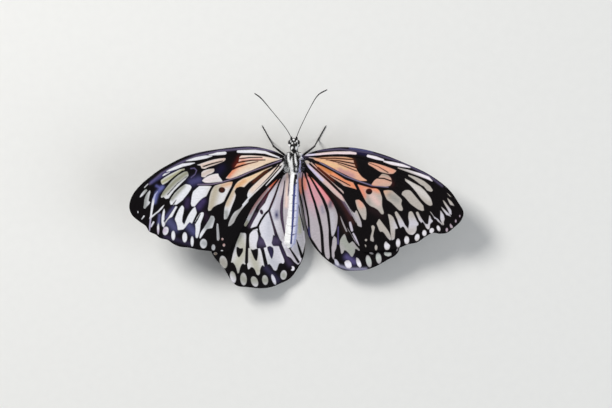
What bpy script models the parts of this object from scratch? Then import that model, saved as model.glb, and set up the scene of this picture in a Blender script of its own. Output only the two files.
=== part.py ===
"""Paper kite butterfly, a still life-size model standing on its middle and hind legs with its wings spread."""

import math

import bmesh
import bpy
import numpy as np
from mathutils import Matrix, Vector
from mathutils.geometry import delaunay_2d_cdt

MM = 0.001
COLLECTION = "paper_kite_butterfly"
LEFT = -1
RIGHT = 1
SIDES = {"left": LEFT, "right": RIGHT}

# Body carriage. The body's own frame has its origin at the middle of the thorax, +Y toward the head.
BODY_HEIGHT = 10.5
BODY_PITCH = 4.0
GAP = 0.3
THINNEST = 0.5

# Thorax.
THORAX_AXES = (2.6, 4.0, 2.9)
THORAX_FRONT_Y = 3.6
THORAX_REAR_Y = -3.5
HINGE_X = 2.75
FORE_HINGE = {"centre": (2.0, 0.3, 1.7), "axes": (1.3, 2.9, 1.1)}
HIND_HINGE = {"centre": (1.9, -2.3, 0.2), "axes": (1.3, 1.6, 0.8)}
COXA_RADIUS = 0.5
COXA_LENGTH = 0.6

# Head with its eyes, feelers, palps and coiled tongue.
HEAD_CENTRE = (0.0, 6.6, -0.1)
HEAD_AXES = (1.9, 2.6, 2.1)
HEAD_SIDE_X = 1.3
EYE_CENTRE = (1.4, 7.3, 0.1)
EYE_AXES = (0.95, 1.35, 1.4)
SOCKET_RADIUS = 0.42
SOCKET_LENGTH = 0.3
ANTENNA_BASE = (0.45, 8.1, 0.3)
ANTENNA_PATHS = {
    LEFT: ((3.1, 12.9, 3.4), (9.0, 20.2, 5.4), (12.6, 24.4, 6.3), (15.2, 26.4, 6.6)),
    RIGHT: ((2.4, 13.1, 3.6), (6.2, 20.8, 5.8), (9.2, 25.6, 6.6), (12.8, 27.8, 6.8)),
}
ANTENNA_RADII = (0.27, 0.25, 0.25, 0.27, 0.36, 0.3)
PALP_BASE = (0.75, 8.2, -1.2)
PALP_PATH = ((1.0, 9.0, -2.1), (1.0, 9.45, -1.7), (0.95, 9.6, -1.0))
PALP_RADII = (0.38, 0.4, 0.36, 0.28)
TONGUE_CENTRE_Y = 7.9
TONGUE_RADIUS = 0.27
TONGUE_COIL = (1.35, 0.5)
TONGUE_TURNS = 1.3

# Abdomen: axis points and the radius at each, then the ring grooves between segments.
ABDOMEN_AXIS = ((0.1, -3.8, 0.25), (0.0, -8.0, 1.0), (-0.1, -16.0, 1.6), (-0.7, -23.0, 1.9), (-1.5, -30.0, 1.9),
                (-1.75, -33.3, 1.8))
ABDOMEN_RADII = (1.25, 1.6, 1.85, 2.15, 2.3, 0.6)
ABDOMEN_SEGMENTS = 9
SEGMENT_GROOVE = 0.1

# Wings. Plans are flat, in mm: first the distance out from the hinge face, then the distance ahead of mid-thorax.
MEMBRANE = 0.5
RIDGE = 0.95
RIDGE_AT_MARGIN = 0.72
RIDGE_HALF_WIDTH = 0.42
ROOT_REACH = 5.0
WING_SPAN = 62.4
WING_DIHEDRAL = {LEFT: 15.5, RIGHT: 8.0}
WING_DROOP = 2.5
WING_CAMBER = 0.35
CAMBER_CHORD = 20.0
WING_LENGTH_SCALE = {LEFT: 0.995, RIGHT: 1.004}
FOREWING_Z = 1.7
HINDWING_LIFT = 1.5
HINDWING_PIVOT = (0.0, -2.4)
HINDWING_SWING = {LEFT: 0.0, RIGHT: 24.5}
SWING_EASE = 7.0
# Share of the swing that the fold beside the abdomen doesn't take, and where that fades out across and along it.
SWING_LAG = 0.145
LAG_ACROSS = (-4.5, 3.0)
LAG_REACH = (24.0, 36.0)
ABDOMINAL_DIP = 2.1
DIP_REACH = (1.0, 8.5)
DIP_START = (-3.0, -6.5)

FOREWING_ROOT = (-1.4, 1.9)
FOREWING_REAR_EDGE = {
    "tornus": ((23.2, -34.2), (20.1, -29.4)),
    "dorsum": ((16.6, -23.6), (13.0, -16.8), (6.0, -7.4)),
}
FOREWING_MARGIN = {
    LEFT: {
        "costa": ((5.5, 4.4), (14.4, 6.0), (26.4, 5.0), (38.3, 2.7), (48.2, -1.9), (54.1, -5.9), (58.1, -9.4)),
        "apex": ((60.8, -12.9), (62.0, -16.9), (61.0, -20.3)),
        "termen": ((58.2, -22.8), (55.6, -24.6), (54.1, -26.8), (51.7, -27.9), (49.8, -29.3), (47.0, -30.0),
                   (44.6, -31.6), (41.9, -32.6), (38.3, -33.0), (34.3, -33.8), (27.6, -34.4)),
        **FOREWING_REAR_EDGE,
    },
    RIGHT: {
        "costa": ((5.4, 4.3), (14.7, 5.7), (23.2, 5.0), (32.1, 2.6), (39.8, -0.5), (47.5, -4.0), (53.2, -7.7),
                  (57.1, -11.2)),
        "apex": ((59.9, -15.2), (62.1, -19.2), (61.3, -22.4)),
        "termen": ((59.0, -24.8), (55.9, -27.2), (53.2, -27.6), (50.5, -27.3), (47.8, -28.6), (44.4, -30.9),
                   (40.9, -31.7), (37.5, -33.0), (33.2, -33.8), (27.1, -34.4)),
        **FOREWING_REAR_EDGE,
    },
}
FOREWING_VEINS = {
    "subcosta": ((0.5, 1.4), (13.0, 4.6), (26.0, 3.2), (36.0, 1.5)),
    "radius": ((0.5, 0.9), (11.0, 3.2), (21.0, 2.1), (30.3, -0.6), (36.3, -3.4)),
    "radius_1": ((21.0, 2.1), (30.0, 1.4), (42.0, -0.6)),
    "radius_2": ((30.3, -0.6), (40.0, -1.8), (48.5, -4.1)),
    "radius_5": ((36.3, -3.4), (49.7, -8.0), (57.4, -13.9), (61.3, -19.9)),
    "radius_4": ((49.7, -8.0), (55.5, -10.0), (60.0, -14.0)),
    "media_1": ((36.6, -4.3), (47.0, -9.9), (53.2, -17.3), (58.8, -24.9)),
    "media_2": ((36.3, -6.9), (41.9, -10.2), (47.4, -16.6), (54.4, -27.2)),
    "media_3": ((34.9, -9.9), (39.6, -13.9), (45.0, -22.7), (48.7, -28.0)),
    "cell_end": ((36.3, -3.4), (36.3, -6.9), (34.9, -9.9)),
    "cubitus": ((0.5, 0.2), (10.9, -2.0), (20.2, -7.2), (30.3, -9.7), (34.9, -9.9)),
    "cubitus_1": ((30.3, -9.7), (31.8, -14.6), (37.7, -25.0), (42.0, -31.0)),
    "cubitus_2": ((20.2, -7.2), (23.7, -14.2), (29.5, -26.6), (34.0, -33.4)),
    "anal": ((0.5, -0.6), (6.2, -5.5), (15.0, -15.6), (22.0, -27.0), (25.8, -33.8)),
}
HINDWING_ROOT = (-3.4, -1.4)
HINDWING_MARGIN = {
    "costa": ((3.4, -1.7), (9.6, -4.6), (17.0, -10.4), (23.2, -18.4), (27.8, -27.0)),
    "apex": ((29.9, -33.0), (28.6, -36.6)),
    "termen": ((24.6, -41.2), (22.4, -44.8), (19.6, -47.6), (15.0, -48.2), (10.4, -48.6), (6.2, -48.2),
               (2.6, -46.9)),
    "tornus": ((-1.4, -44.9), (-4.2, -41.4)),
    "dorsum": ((-6.6, -36.8), (-7.4, -31.6), (-6.8, -25.6), (-5.5, -17.7), (-4.4, -11.0), (-2.5, -6.4)),
}
HINDWING_VEINS = {
    "subcosta": ((0.5, -1.8), (9.0, -6.2), (19.0, -15.4), (27.2, -28.6)),
    "radius": ((0.5, -2.2), (6.5, -7.0), (13.5, -15.5), (18.5, -23.0)),
    "sector": ((13.5, -15.5), (22.5, -24.0), (28.8, -34.4)),
    "media_1": ((18.5, -23.0), (23.0, -31.0), (25.6, -39.4)),
    "media_2": ((18.5, -23.0), (21.2, -32.0), (22.7, -43.8)),
    "media_3": ((15.2, -25.7), (15.7, -35.0), (15.0, -47.6)),
    "cell_end": ((18.5, -23.0), (15.2, -25.7), (11.2, -25.0)),
    "cubitus": ((0.5, -2.7), (2.6, -7.0), (5.6, -15.8), (11.2, -25.0)),
    "cubitus_1": ((11.2, -25.0), (9.2, -34.0), (6.4, -47.6)),
    "cubitus_2": ((6.6, -18.0), (4.6, -27.0), (-1.2, -44.3)),
    "anal_2": ((0.4, -3.0), (1.6, -15.6), (0.4, -27.0), (-4.6, -40.2)),
    "anal_3": ((-0.2, -4.2), (-3.6, -12.4), (-5.9, -24.0), (-6.9, -31.0)),
}
MARGIN_STEP = 2.0
VEIN_STEP = 2.5
FILL_STEP = 4.4
FILL_CLEARANCE = 1.5
CROWDING = 0.33

# Legs, in mm from the point on the floor below mid-thorax: knee, ankle and toe. Middle and hind feet carry it.
HIPS = {"fore": (0.6, 2.5, -1.0), "middle": (0.8, 0.6, -1.4), "hind": (0.7, -1.4, -1.2)}
TROCHANTERS = {"fore": (1.1, 4.4, -3.3), "middle": (1.7, 1.2, -4.3), "hind": (1.5, -2.2, -4.3)}
LEG_JOINTS = {
    "middle": ((7.9, 6.2, 8.6), (9.3, 9.4, 0.24), (12.2, 14.6, 0.24)),
    "hind": ((7.0, -9.0, 7.0), (9.2, -15.6, 0.24), (11.4, -24.2, 0.24)),
}
FEMUR_RADII = (0.5, 0.4)
TIBIA_RADII = (0.38, 0.33)
TARSUS_RADII = (0.33, 0.27)
JOINT_STUB = 0.55
FORELEG_PATH = (TROCHANTERS["fore"], (1.3, 5.9, -3.5), (1.2, 5.6, -4.3), (1.1, 3.6, -4.5))
FORELEG_RADII = (0.34, 0.32, 0.28, 0.27, 0.25)

# Colour, roughness.
FINISHES = {
    "black_cuticle": ((0.02, 0.018, 0.022), 0.45),
    "pale_cuticle": ((0.62, 0.62, 0.66), 0.6),
    "eye": ((0.03, 0.02, 0.02), 0.2),
    "wing": ((0.66, 0.66, 0.64), 0.55),
}
SPHERE_SEGMENTS = 24
SPHERE_RINGS = 14


def clear_scene():
    for obj in list(bpy.data.objects):
        bpy.data.objects.remove(obj, do_unlink=True)


def smoothstep(low, high, value):
    t = min(max((value - low) / (high - low), 0.0), 1.0)
    return t * t * (3.0 - 2.0 * t)


def finish(mesh, name, slot, smooth=True):
    """One named object with its own material."""
    colour, roughness = FINISHES[slot]
    material = bpy.data.materials.new(f"{slot}_{name}")
    material.use_nodes = True
    shader = material.node_tree.nodes["Principled BSDF"]
    shader.inputs["Base Color"].default_value = (*colour, 1.0)
    shader.inputs["Roughness"].default_value = roughness
    shader.inputs["Metallic"].default_value = 0.0
    mesh.materials.clear()
    mesh.materials.append(material)
    mesh.polygons.foreach_set("use_smooth", [smooth] * len(mesh.polygons))
    mesh.name = name
    obj = bpy.data.objects.new(name, mesh)
    bpy.data.collections[COLLECTION].objects.link(obj)
    return obj


def ellipsoid(centre, axes):
    mesh = bpy.data.meshes.new("ellipsoid")
    form = bmesh.new()
    bmesh.ops.create_uvsphere(form, u_segments=SPHERE_SEGMENTS, v_segments=SPHERE_RINGS, radius=MM)
    bmesh.ops.scale(form, vec=axes, verts=form.verts)
    bmesh.ops.translate(form, vec=Vector(centre) * MM, verts=form.verts)
    form.to_mesh(mesh)
    form.free()
    return mesh


def cut_flat(mesh, point, normal):
    """Takes away what lies beyond a plane and closes the cut with one flat face."""
    form = bmesh.new()
    form.from_mesh(mesh)
    everything = form.verts[:] + form.edges[:] + form.faces[:]
    bmesh.ops.bisect_plane(
        form, geom=everything, dist=1e-7, plane_co=Vector(point) * MM, plane_no=normal, clear_outer=True
    )
    bmesh.ops.holes_fill(form, edges=[edge for edge in form.edges if edge.is_boundary])
    bmesh.ops.recalc_face_normals(form, faces=form.faces[:])
    form.to_mesh(mesh)
    form.free()
    return mesh


def tube(path, radii):
    """A round bar along a path in mm, with its own radius at each point and both ends closed."""
    curve = bpy.data.curves.new("tube", "CURVE")
    curve.dimensions = "3D"
    curve.bevel_depth = MM
    curve.bevel_resolution = 2
    curve.use_fill_caps = True
    spline = curve.splines.new("POLY")
    spline.points.add(len(path) - 1)
    for point, place, radius in zip(spline.points, path, radii):
        point.co = (*(Vector(place) * MM), 1.0)
        point.radius = radius
    holder = bpy.data.objects.new("tube", curve)
    bpy.context.scene.collection.objects.link(holder)
    graph = bpy.context.evaluated_depsgraph_get()
    mesh = bpy.data.meshes.new_from_object(holder.evaluated_get(graph))
    bpy.data.objects.remove(holder, do_unlink=True)
    form = bmesh.new()
    form.from_mesh(mesh)
    bmesh.ops.remove_doubles(form, verts=form.verts, dist=1e-7)
    bmesh.ops.recalc_face_normals(form, faces=form.faces[:])
    form.to_mesh(mesh)
    form.free()
    return mesh


def union(mesh, additions):
    """The mesh with each addition joined into one closed surface."""
    body = bpy.data.objects.new("union", mesh)
    bpy.context.scene.collection.objects.link(body)
    helpers = []
    for addition in additions:
        helper = bpy.data.objects.new("addition", addition)
        bpy.context.scene.collection.objects.link(helper)
        helpers.append(helper)
        modifier = body.modifiers.new("join", "BOOLEAN")
        modifier.operation = "UNION"
        modifier.solver = "EXACT"
        modifier.object = helper
    graph = bpy.context.evaluated_depsgraph_get()
    joined = bpy.data.meshes.new_from_object(body.evaluated_get(graph))
    for helper in [body, *helpers]:
        bpy.data.objects.remove(helper, do_unlink=True)
    return joined


def smooth_line(points, step):
    """Evenly spaced points on a smooth line through the given ones."""
    knots = [np.array(point, float) for point in points]
    knots = [2.0 * knots[0] - knots[1], *knots, 2.0 * knots[-1] - knots[-2]]
    fine = []
    for before, start, end, after in zip(knots, knots[1:], knots[2:], knots[3:]):
        for t in np.linspace(0.0, 1.0, 24, endpoint=False):
            curved = (
                2.0 * start
                + (end - before) * t
                + (2.0 * before - 5.0 * start + 4.0 * end - after) * t**2
                + (3.0 * start - before - 3.0 * end + after) * t**3
            )
            fine.append(0.5 * curved)
    fine.append(knots[-2])
    fine = np.array(fine)
    along = np.concatenate([[0.0], np.cumsum(np.linalg.norm(np.diff(fine, axis=0), axis=1))])
    count = max(2, round(along[-1] / step) + 1)
    stations = np.linspace(0.0, along[-1], count)
    return np.stack([np.interp(stations, along, fine[:, axis]) for axis in range(fine.shape[1])], axis=1)


def mirrored(point, side):
    return (point[0] * side, point[1], point[2])


def way_out(inside, toward, centre, axes):
    """How far the ray from an inside point toward another runs before it leaves an ellipsoid, and its direction."""
    origin = Vector(inside)
    direction = (Vector(toward) - origin).normalized()
    scaled_start = Vector([(origin[i] - centre[i]) / axes[i] for i in range(3)])
    scaled_way = Vector([direction[i] / axes[i] for i in range(3)])
    a = scaled_way.dot(scaled_way)
    b = 2.0 * scaled_start.dot(scaled_way)
    c = scaled_start.dot(scaled_start) - 1.0
    return (-b + math.sqrt(b * b - 4.0 * a * c)) / (2.0 * a), direction


def stub(inside, toward, centre, axes, radius, length):
    """A short socket that stands out of an ellipsoid, and the point and direction at its end face."""
    reach, direction = way_out(inside, toward, centre, axes)
    end = Vector(inside) + direction * (reach + length)
    return tube((inside, end), (radius, radius)), end, direction


# Carriage of the body over the floor.
CARRIAGE = Matrix.Translation((0.0, 0.0, BODY_HEIGHT * MM)) @ Matrix.Rotation(math.radians(BODY_PITCH), 4, "X")


def to_floor(point):
    return CARRIAGE @ (Vector(point) * MM) / MM


def placed(mesh, name, slot):
    obj = finish(mesh, name, slot)
    obj.matrix_world = CARRIAGE
    return obj


def build_thorax():
    """The thorax with wing hinges and the six coxae; returns where each leg goes on from its coxa."""
    additions = []
    for hinge in (FORE_HINGE, HIND_HINGE):
        for side in SIDES.values():
            lobe = ellipsoid(mirrored(hinge["centre"], side), hinge["axes"])
            additions.append(cut_flat(lobe, (side * HINGE_X, 0.0, 0.0), (side, 0.0, 0.0)))
    starts = {}
    for side in SIDES.values():
        for leg, hip in HIPS.items():
            coxa, end, direction = stub(
                mirrored(hip, side),
                mirrored(TROCHANTERS[leg], side),
                (0.0, 0.0, 0.0),
                THORAX_AXES,
                COXA_RADIUS,
                COXA_LENGTH,
            )
            additions.append(coxa)
            starts[leg, side] = end + direction * GAP
    body = cut_flat(ellipsoid((0.0, 0.0, 0.0), THORAX_AXES), (0.0, THORAX_FRONT_Y, 0.0), (0.0, 1.0, 0.0))
    body = cut_flat(body, (0.0, THORAX_REAR_Y, 0.0), (0.0, -1.0, 0.0))
    placed(union(body, additions), "thorax", "black_cuticle")
    return starts


def build_head():
    sockets = []
    antenna_starts = {}
    for side in SIDES.values():
        socket, end, direction = stub(
            mirrored(ANTENNA_BASE, side),
            mirrored(ANTENNA_PATHS[side][0], side),
            HEAD_CENTRE,
            HEAD_AXES,
            SOCKET_RADIUS,
            SOCKET_LENGTH,
        )
        sockets.append(socket)
        antenna_starts[side] = end + direction * GAP
    skull = ellipsoid(HEAD_CENTRE, HEAD_AXES)
    for side in SIDES.values():
        skull = cut_flat(skull, (side * HEAD_SIDE_X, 0.0, 0.0), (side, 0.0, 0.0))
    skull = cut_flat(skull, (0.0, THORAX_FRONT_Y + GAP + 0.1, 0.0), (0.0, -1.0, 0.0))
    neck_path = ((0.0, THORAX_FRONT_Y + GAP, 0.0), (0.0, THORAX_FRONT_Y + 2.0, 0.0))
    sockets.append(tube(neck_path, (0.95, 0.95)))
    placed(union(skull, sockets), "head", "black_cuticle")
    for word, side in SIDES.items():
        eye = ellipsoid(mirrored(EYE_CENTRE, side), EYE_AXES)
        eye = cut_flat(eye, (side * (HEAD_SIDE_X + GAP), 0.0, 0.0), (-side, 0.0, 0.0))
        placed(eye, f"eye_{word}", "eye")
        path = [antenna_starts[side], *(mirrored(point, side) for point in ANTENNA_PATHS[side])]
        line = smooth_line(path, 1.6)
        radii = np.interp(
            np.linspace(0.0, 1.0, len(line)), np.linspace(0.0, 1.0, len(ANTENNA_RADII)), ANTENNA_RADII
        )
        placed(tube(line, radii), f"antenna_{word}", "black_cuticle")
        reach, direction = way_out(
            mirrored(PALP_BASE, side), mirrored(PALP_PATH[0], side), HEAD_CENTRE, HEAD_AXES
        )
        start = Vector(mirrored(PALP_BASE, side)) + direction * (reach + GAP)
        palp = [start, *(mirrored(point, side) for point in PALP_PATH)]
        placed(tube(palp, PALP_RADII), f"palp_{word}", "black_cuticle")


def build_tongue():
    """The tongue coiled under the head, its outer turn just clear of the throat."""
    outer, inner = TONGUE_COIL
    forward = (TONGUE_CENTRE_Y - HEAD_CENTRE[1]) / HEAD_AXES[1]
    throat_z = HEAD_CENTRE[2] - HEAD_AXES[2] * math.sqrt(1.0 - forward**2)
    centre_z = throat_z - GAP - TONGUE_RADIUS - outer
    line = []
    steps = 22
    for index in range(steps + 1):
        share = index / steps
        turn = math.tau * (0.25 + TONGUE_TURNS * share)
        radius = outer + (inner - outer) * share
        line.append((0.0, TONGUE_CENTRE_Y - radius * math.cos(turn), centre_z + radius * math.sin(turn)))
    radii = np.linspace(TONGUE_RADIUS, THINNEST / 2.0 - 0.03, len(line))
    placed(tube(line, radii), "proboscis", "black_cuticle")


def build_abdomen():
    axis = smooth_line(ABDOMEN_AXIS, 0.95)
    share = np.linspace(0.0, 1.0, len(axis))
    knots = np.array([point[1] for point in ABDOMEN_AXIS])
    profile = smooth_line(list(zip(knots, ABDOMEN_RADII)), 0.5)
    radii = np.interp(-axis[:, 1], -profile[:, 0], profile[:, 1])
    groove = np.cos(share * ABDOMEN_SEGMENTS * math.tau)
    radii = radii - SEGMENT_GROOVE * np.clip(groove, 0.0, 1.0)
    placed(tube(axis, np.maximum(radii, THINNEST / 2.0)), "abdomen", "pale_cuticle")


def inside(outline, point):
    """Whether a flat point lies within a closed outline, by counting crossings."""
    following = np.roll(outline, -1, axis=0)
    spans = (outline[:, 1] > point[1]) != (following[:, 1] > point[1])
    rise = following[:, 1] - outline[:, 1]
    rise[rise == 0.0] = 1.0
    crossing = outline[:, 0] + (point[1] - outline[:, 1]) * (following[:, 0] - outline[:, 0]) / rise
    return bool(np.count_nonzero(spans & (crossing > point[0])) % 2)


def wing_plan(root, margin, veins):
    """Flat points and triangles of a wing, with the full thickness wanted at each point."""
    rear, front = root
    landmarks = [(0.0, front), *(point for stretch in margin.values() for point in stretch), (0.0, rear)]
    edge = smooth_line(landmarks, MARGIN_STEP)
    middle_of_root = np.array([[0.0, rear + (front - rear) / 3.0], [0.0, rear + (front - rear) * 2.0 / 3.0]])
    outline = np.concatenate([edge, middle_of_root])
    points = list(outline)
    thickness = [MEMBRANE] * len(points)
    crests = []
    for line in veins.values():
        path = smooth_line(line, VEIN_STEP)
        span = np.linalg.norm(path - path[0], axis=1)
        for place, along in zip(path, span):
            crest = RIDGE_AT_MARGIN + (RIDGE - RIDGE_AT_MARGIN) * (1.0 - smoothstep(20.0, 50.0, np.hypot(*place)))
            crests.append((place, crest))
        ahead = np.gradient(path, axis=0)
        ahead /= np.linalg.norm(ahead, axis=1, keepdims=True)
        side = np.stack([-ahead[:, 1], ahead[:, 0]], axis=1) * RIDGE_HALF_WIDTH
        for place in path:
            clear = all(np.hypot(*(place - other)) > CROWDING for other in points)
            if clear and inside(outline, place):
                points.append(place)
                thickness.append(crests[-1][1])
        for offset in (side, -side):
            for place in path + offset:
                near = all(np.hypot(*(place - other)) > CROWDING for other in points)
                if near and inside(outline, place):
                    points.append(place)
                    thickness.append(MEMBRANE)
    low = outline.min(axis=0)
    high = outline.max(axis=0)
    rows = np.arange(low[1], high[1], FILL_STEP * math.sqrt(0.75))
    for row, height in enumerate(rows):
        for reach in np.arange(low[0] + (row % 2) * FILL_STEP / 2.0, high[0], FILL_STEP):
            place = np.array([reach, height])
            clear = np.hypot(*(np.array(points) - place).T).min() > FILL_CLEARANCE
            if clear and inside(outline, place):
                points.append(place)
                thickness.append(MEMBRANE)
    for index in range(len(outline), len(points)):
        nearest, crest = min(crests, key=lambda item: np.hypot(*(item[0] - points[index])))
        if np.hypot(*(nearest - points[index])) < RIDGE_HALF_WIDTH / 2.0:
            thickness[index] = crest
    boundary = list(range(len(outline)))
    flat, _, triangles, origins, _, _ = delaunay_2d_cdt(
        [Vector(point) for point in points], [], [boundary], 1, 1e-5
    )
    full = [max((thickness[i] for i in origin), default=MEMBRANE) for origin in origins]
    return flat, triangles, full


def wing_place(flat, side, hind):
    """Where a flat wing point lies once the wing is hung on the thorax, in the body's frame."""
    out, ahead = flat
    dip = 0.0
    if hind:
        pivot = Vector(HINDWING_PIVOT)
        arm = Vector((out, ahead)) - pivot
        lag = SWING_LAG * (1.0 - smoothstep(*LAG_ACROSS, out)) * (1.0 - smoothstep(*LAG_REACH, arm.length))
        swing = math.radians(HINDWING_SWING[side]) * smoothstep(0.0, SWING_EASE, arm.length) * (1.0 - lag)
        turned = Matrix.Rotation(swing, 2) @ arm + pivot
        out, ahead = turned
        near_body = 1.0 - smoothstep(*DIP_REACH, out)
        behind = smoothstep(-DIP_START[0], -DIP_START[1], -ahead)
        dip = HINDWING_LIFT + ABDOMINAL_DIP * near_body * behind
    run = max(out, 0.0) * WING_LENGTH_SCALE[side]
    angle = math.radians(WING_DIHEDRAL[side] - WING_DROOP * run / WING_SPAN)
    across = HINGE_X + GAP + min(out, 0.0) + run * math.cos(angle)
    height = FOREWING_Z + run * math.sin(angle) - WING_CAMBER * (ahead / CAMBER_CHORD) ** 2 - dip
    return Vector((across * side, ahead, height)) * MM


def build_wing(name, side, root, margin, veins, hind):
    flat, triangles, full = wing_plan(root, margin, veins)
    mesh = bpy.data.meshes.new(name)
    if side == LEFT:
        triangles = [tuple(reversed(face)) for face in triangles]
    mesh.from_pydata([wing_place(point, side, hind) for point in flat], [], triangles)
    obj = placed(mesh, name, "wing")
    group = obj.vertex_groups.new(name="thickness")
    for index, (point, depth) in enumerate(zip(flat, full)):
        root_share = 1.0 - smoothstep(0.0, ROOT_REACH, point.x)
        depth = max(depth, MEMBRANE + (RIDGE - MEMBRANE) * root_share * (abs(point.y) < ROOT_REACH))
        group.add([index], depth / RIDGE, "REPLACE")
    shell = obj.modifiers.new("shell", "SOLIDIFY")
    shell.thickness = RIDGE * MM
    shell.offset = 0.0
    shell.vertex_group = group.name
    shell.thickness_vertex_group = 0.0


def build_legs(starts):
    for word, side in SIDES.items():
        fore = [starts["fore", side], *(mirrored(point, side) for point in FORELEG_PATH)]
        placed(tube(fore, FORELEG_RADII), f"foreleg_{word}", "black_cuticle")
        for leg, joints in LEG_JOINTS.items():
            knee, ankle, toe = (Vector(mirrored(joint, side)) for joint in joints)
            hip = to_floor(starts[leg, side])
            trochanter = to_floor(Vector(mirrored(TROCHANTERS[leg], side)))
            down = (ankle - knee).normalized()
            forward = (toe - ankle).normalized()
            knee_end = knee + down * JOINT_STUB
            ankle_end = ankle + forward * JOINT_STUB
            lengths = {
                "femur": ((hip, trochanter, knee, knee_end), (COXA_RADIUS, *FEMUR_RADII, FEMUR_RADII[1])),
                "tibia": ((knee_end + down * GAP, ankle, ankle_end), (*TIBIA_RADII, TIBIA_RADII[1])),
                "tarsus": ((ankle_end + forward * GAP, toe), TARSUS_RADII),
            }
            for length, (path, radii) in lengths.items():
                mesh = tube(path, radii)
                if length != "femur":
                    mesh = cut_flat(mesh, (0.0, 0.0, 0.0), (0.0, 0.0, -1.0))
                finish(mesh, f"{leg}_{length}_{word}", "black_cuticle")


def centre_on_floor():
    """Moves everything across the floor so that the middle of its bounds stands over the origin."""
    bpy.context.view_layer.update()
    graph = bpy.context.evaluated_depsgraph_get()
    parts = list(bpy.data.collections[COLLECTION].objects)
    corners = []
    for obj in parts:
        shape = obj.evaluated_get(graph)
        corners.extend(obj.matrix_world @ vertex.co for vertex in shape.data.vertices)
    corners = np.array(corners)
    middle = (corners.min(axis=0) + corners.max(axis=0)) / 2.0
    for obj in parts:
        obj.location.x -= middle[0]
        obj.location.y -= middle[1]


def main():
    clear_scene()
    bpy.context.scene.collection.children.link(bpy.data.collections.new(COLLECTION))
    starts = build_thorax()
    build_head()
    build_tongue()
    build_abdomen()
    for word, side in SIDES.items():
        build_wing(f"forewing_{word}", side, FOREWING_ROOT, FOREWING_MARGIN[side], FOREWING_VEINS, hind=False)
        build_wing(f"hindwing_{word}", side, HINDWING_ROOT, HINDWING_MARGIN, HINDWING_VEINS, hind=True)
    build_legs(starts)
    centre_on_floor()


main()
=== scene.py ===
"""Looks of the life-size paper kite butterfly: scaled wings, a skin with its coat, eyes, feelers, tongue, legs."""

from __future__ import annotations

import logging
import math
from dataclasses import dataclass, field, replace
from enum import Enum
from typing import Callable, Sequence

import bpy
import numpy as np
from mathutils import Matrix, Vector

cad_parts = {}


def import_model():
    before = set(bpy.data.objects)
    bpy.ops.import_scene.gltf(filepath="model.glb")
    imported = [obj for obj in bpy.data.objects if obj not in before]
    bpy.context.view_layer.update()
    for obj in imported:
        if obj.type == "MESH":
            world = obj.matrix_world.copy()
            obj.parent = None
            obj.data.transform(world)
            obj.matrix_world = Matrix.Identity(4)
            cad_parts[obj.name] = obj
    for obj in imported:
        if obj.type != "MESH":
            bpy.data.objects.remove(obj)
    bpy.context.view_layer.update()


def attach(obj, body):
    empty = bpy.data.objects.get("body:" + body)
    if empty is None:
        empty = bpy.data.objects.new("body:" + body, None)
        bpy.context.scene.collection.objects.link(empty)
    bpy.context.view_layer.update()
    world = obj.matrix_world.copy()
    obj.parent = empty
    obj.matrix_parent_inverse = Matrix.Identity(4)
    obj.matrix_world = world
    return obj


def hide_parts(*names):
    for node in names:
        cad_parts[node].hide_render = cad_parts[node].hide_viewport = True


log = logging.getLogger("paper_kite")

MM = 0.001
BODY = "root"

# Carriage of the body over the floor, in mm and degrees. The body's own frame starts at the middle of the thorax.
BODY_ORIGIN = (-0.985, 10.520, 10.5)
BODY_PITCH = 4.0
CARRIAGE = Matrix.Translation(Vector(BODY_ORIGIN)) @ Matrix.Rotation(math.radians(BODY_PITCH), 4, "X")

# The marking chart: one square is 0.385 mm, and the middle of the thorax lies at this square.
CHART_SQUARE = 0.385
CHART_MIDDLE = (294.0, 162.0)

Points = Sequence[Sequence[float]]
Colour = tuple[float, float, float]

# A line drawn on the marking chart: x,y of each point, or x,y,half-width, with spaces between the points.
Drawn = str

BLACK = (0.04, 0.026, 0.034)
WHITE = (1.0, 1.0, 1.0)
# SHADE_LILAC is painted shade: the cool lilac that the pale marks on the thorax's right flank take on, as if out of
# the light.
SHADE_LILAC = (0.83, 0.82, 0.95)
PAPER = (0.90, 0.90, 0.89)


class Side(Enum):
    """A side of the butterfly, valued by the sign of its x."""

    LEFT = -1
    RIGHT = 1

    @property
    def word(self) -> str:
        """The side's name in lower case, as in the node names."""
        return self.name.lower()


class Slot(Enum):
    """Names of material slots, which no piece here is given."""

    BLACK = "black_cuticle"
    PALE = "pale_cuticle"
    EYE = "eye"
    WING = "wing"


# ---------------------------------------------------------------- lines, fields and tints


FAR = 1e9
TINY = 1e-12


def smoothstep(low: float, high: float, value: np.ndarray) -> np.ndarray:
    """Smooth rise from 0 to 1.

    Args:
        low: Value at which the rise starts.
        high: Value at which it ends.
        value: Values to map.

    Returns:
        Shares from 0 to 1.
    """
    t = np.clip((value - low) / (high - low), 0.0, 1.0)
    return t * t * (3.0 - 2.0 * t)


def smooth_line(points: Points, step: float) -> np.ndarray:
    """Evenly spaced points on a smooth line.

    Args:
        points: The points that the line passes through.
        step: Distance between the new points.

    Returns:
        The new points, one a row.
    """
    knots = [np.array(point, float) for point in points]
    knots = [2.0 * knots[0] - knots[1], *knots, 2.0 * knots[-1] - knots[-2]]
    fine = []
    for before, start, end, after in zip(knots, knots[1:], knots[2:], knots[3:]):
        t = np.linspace(0.0, 1.0, 24, endpoint=False)[:, None]
        curved = (
            2.0 * start
            + (end - before) * t
            + (2.0 * before - 5.0 * start + 4.0 * end - after) * t**2
            + (3.0 * start - before - 3.0 * end + after) * t**3
        )
        fine.append(0.5 * curved)
    line = np.concatenate([*fine, knots[-2][None]])
    return resampled(line, step)


def run_along(line: np.ndarray) -> np.ndarray:
    """Distance of each point of a line from its start."""
    return np.concatenate([[0.0], np.cumsum(np.linalg.norm(np.diff(line, axis=0), axis=1))])


def resampled(line: np.ndarray, step: float) -> np.ndarray:
    """The same line with evenly spaced points.

    Args:
        line: Points of the line, one a row.
        step: Distance wanted between points.

    Returns:
        The new points, one a row.
    """
    along = run_along(line)
    stations = np.linspace(0.0, along[-1], max(2, round(along[-1] / step) + 1))
    return rows_at(line, along, stations)


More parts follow.
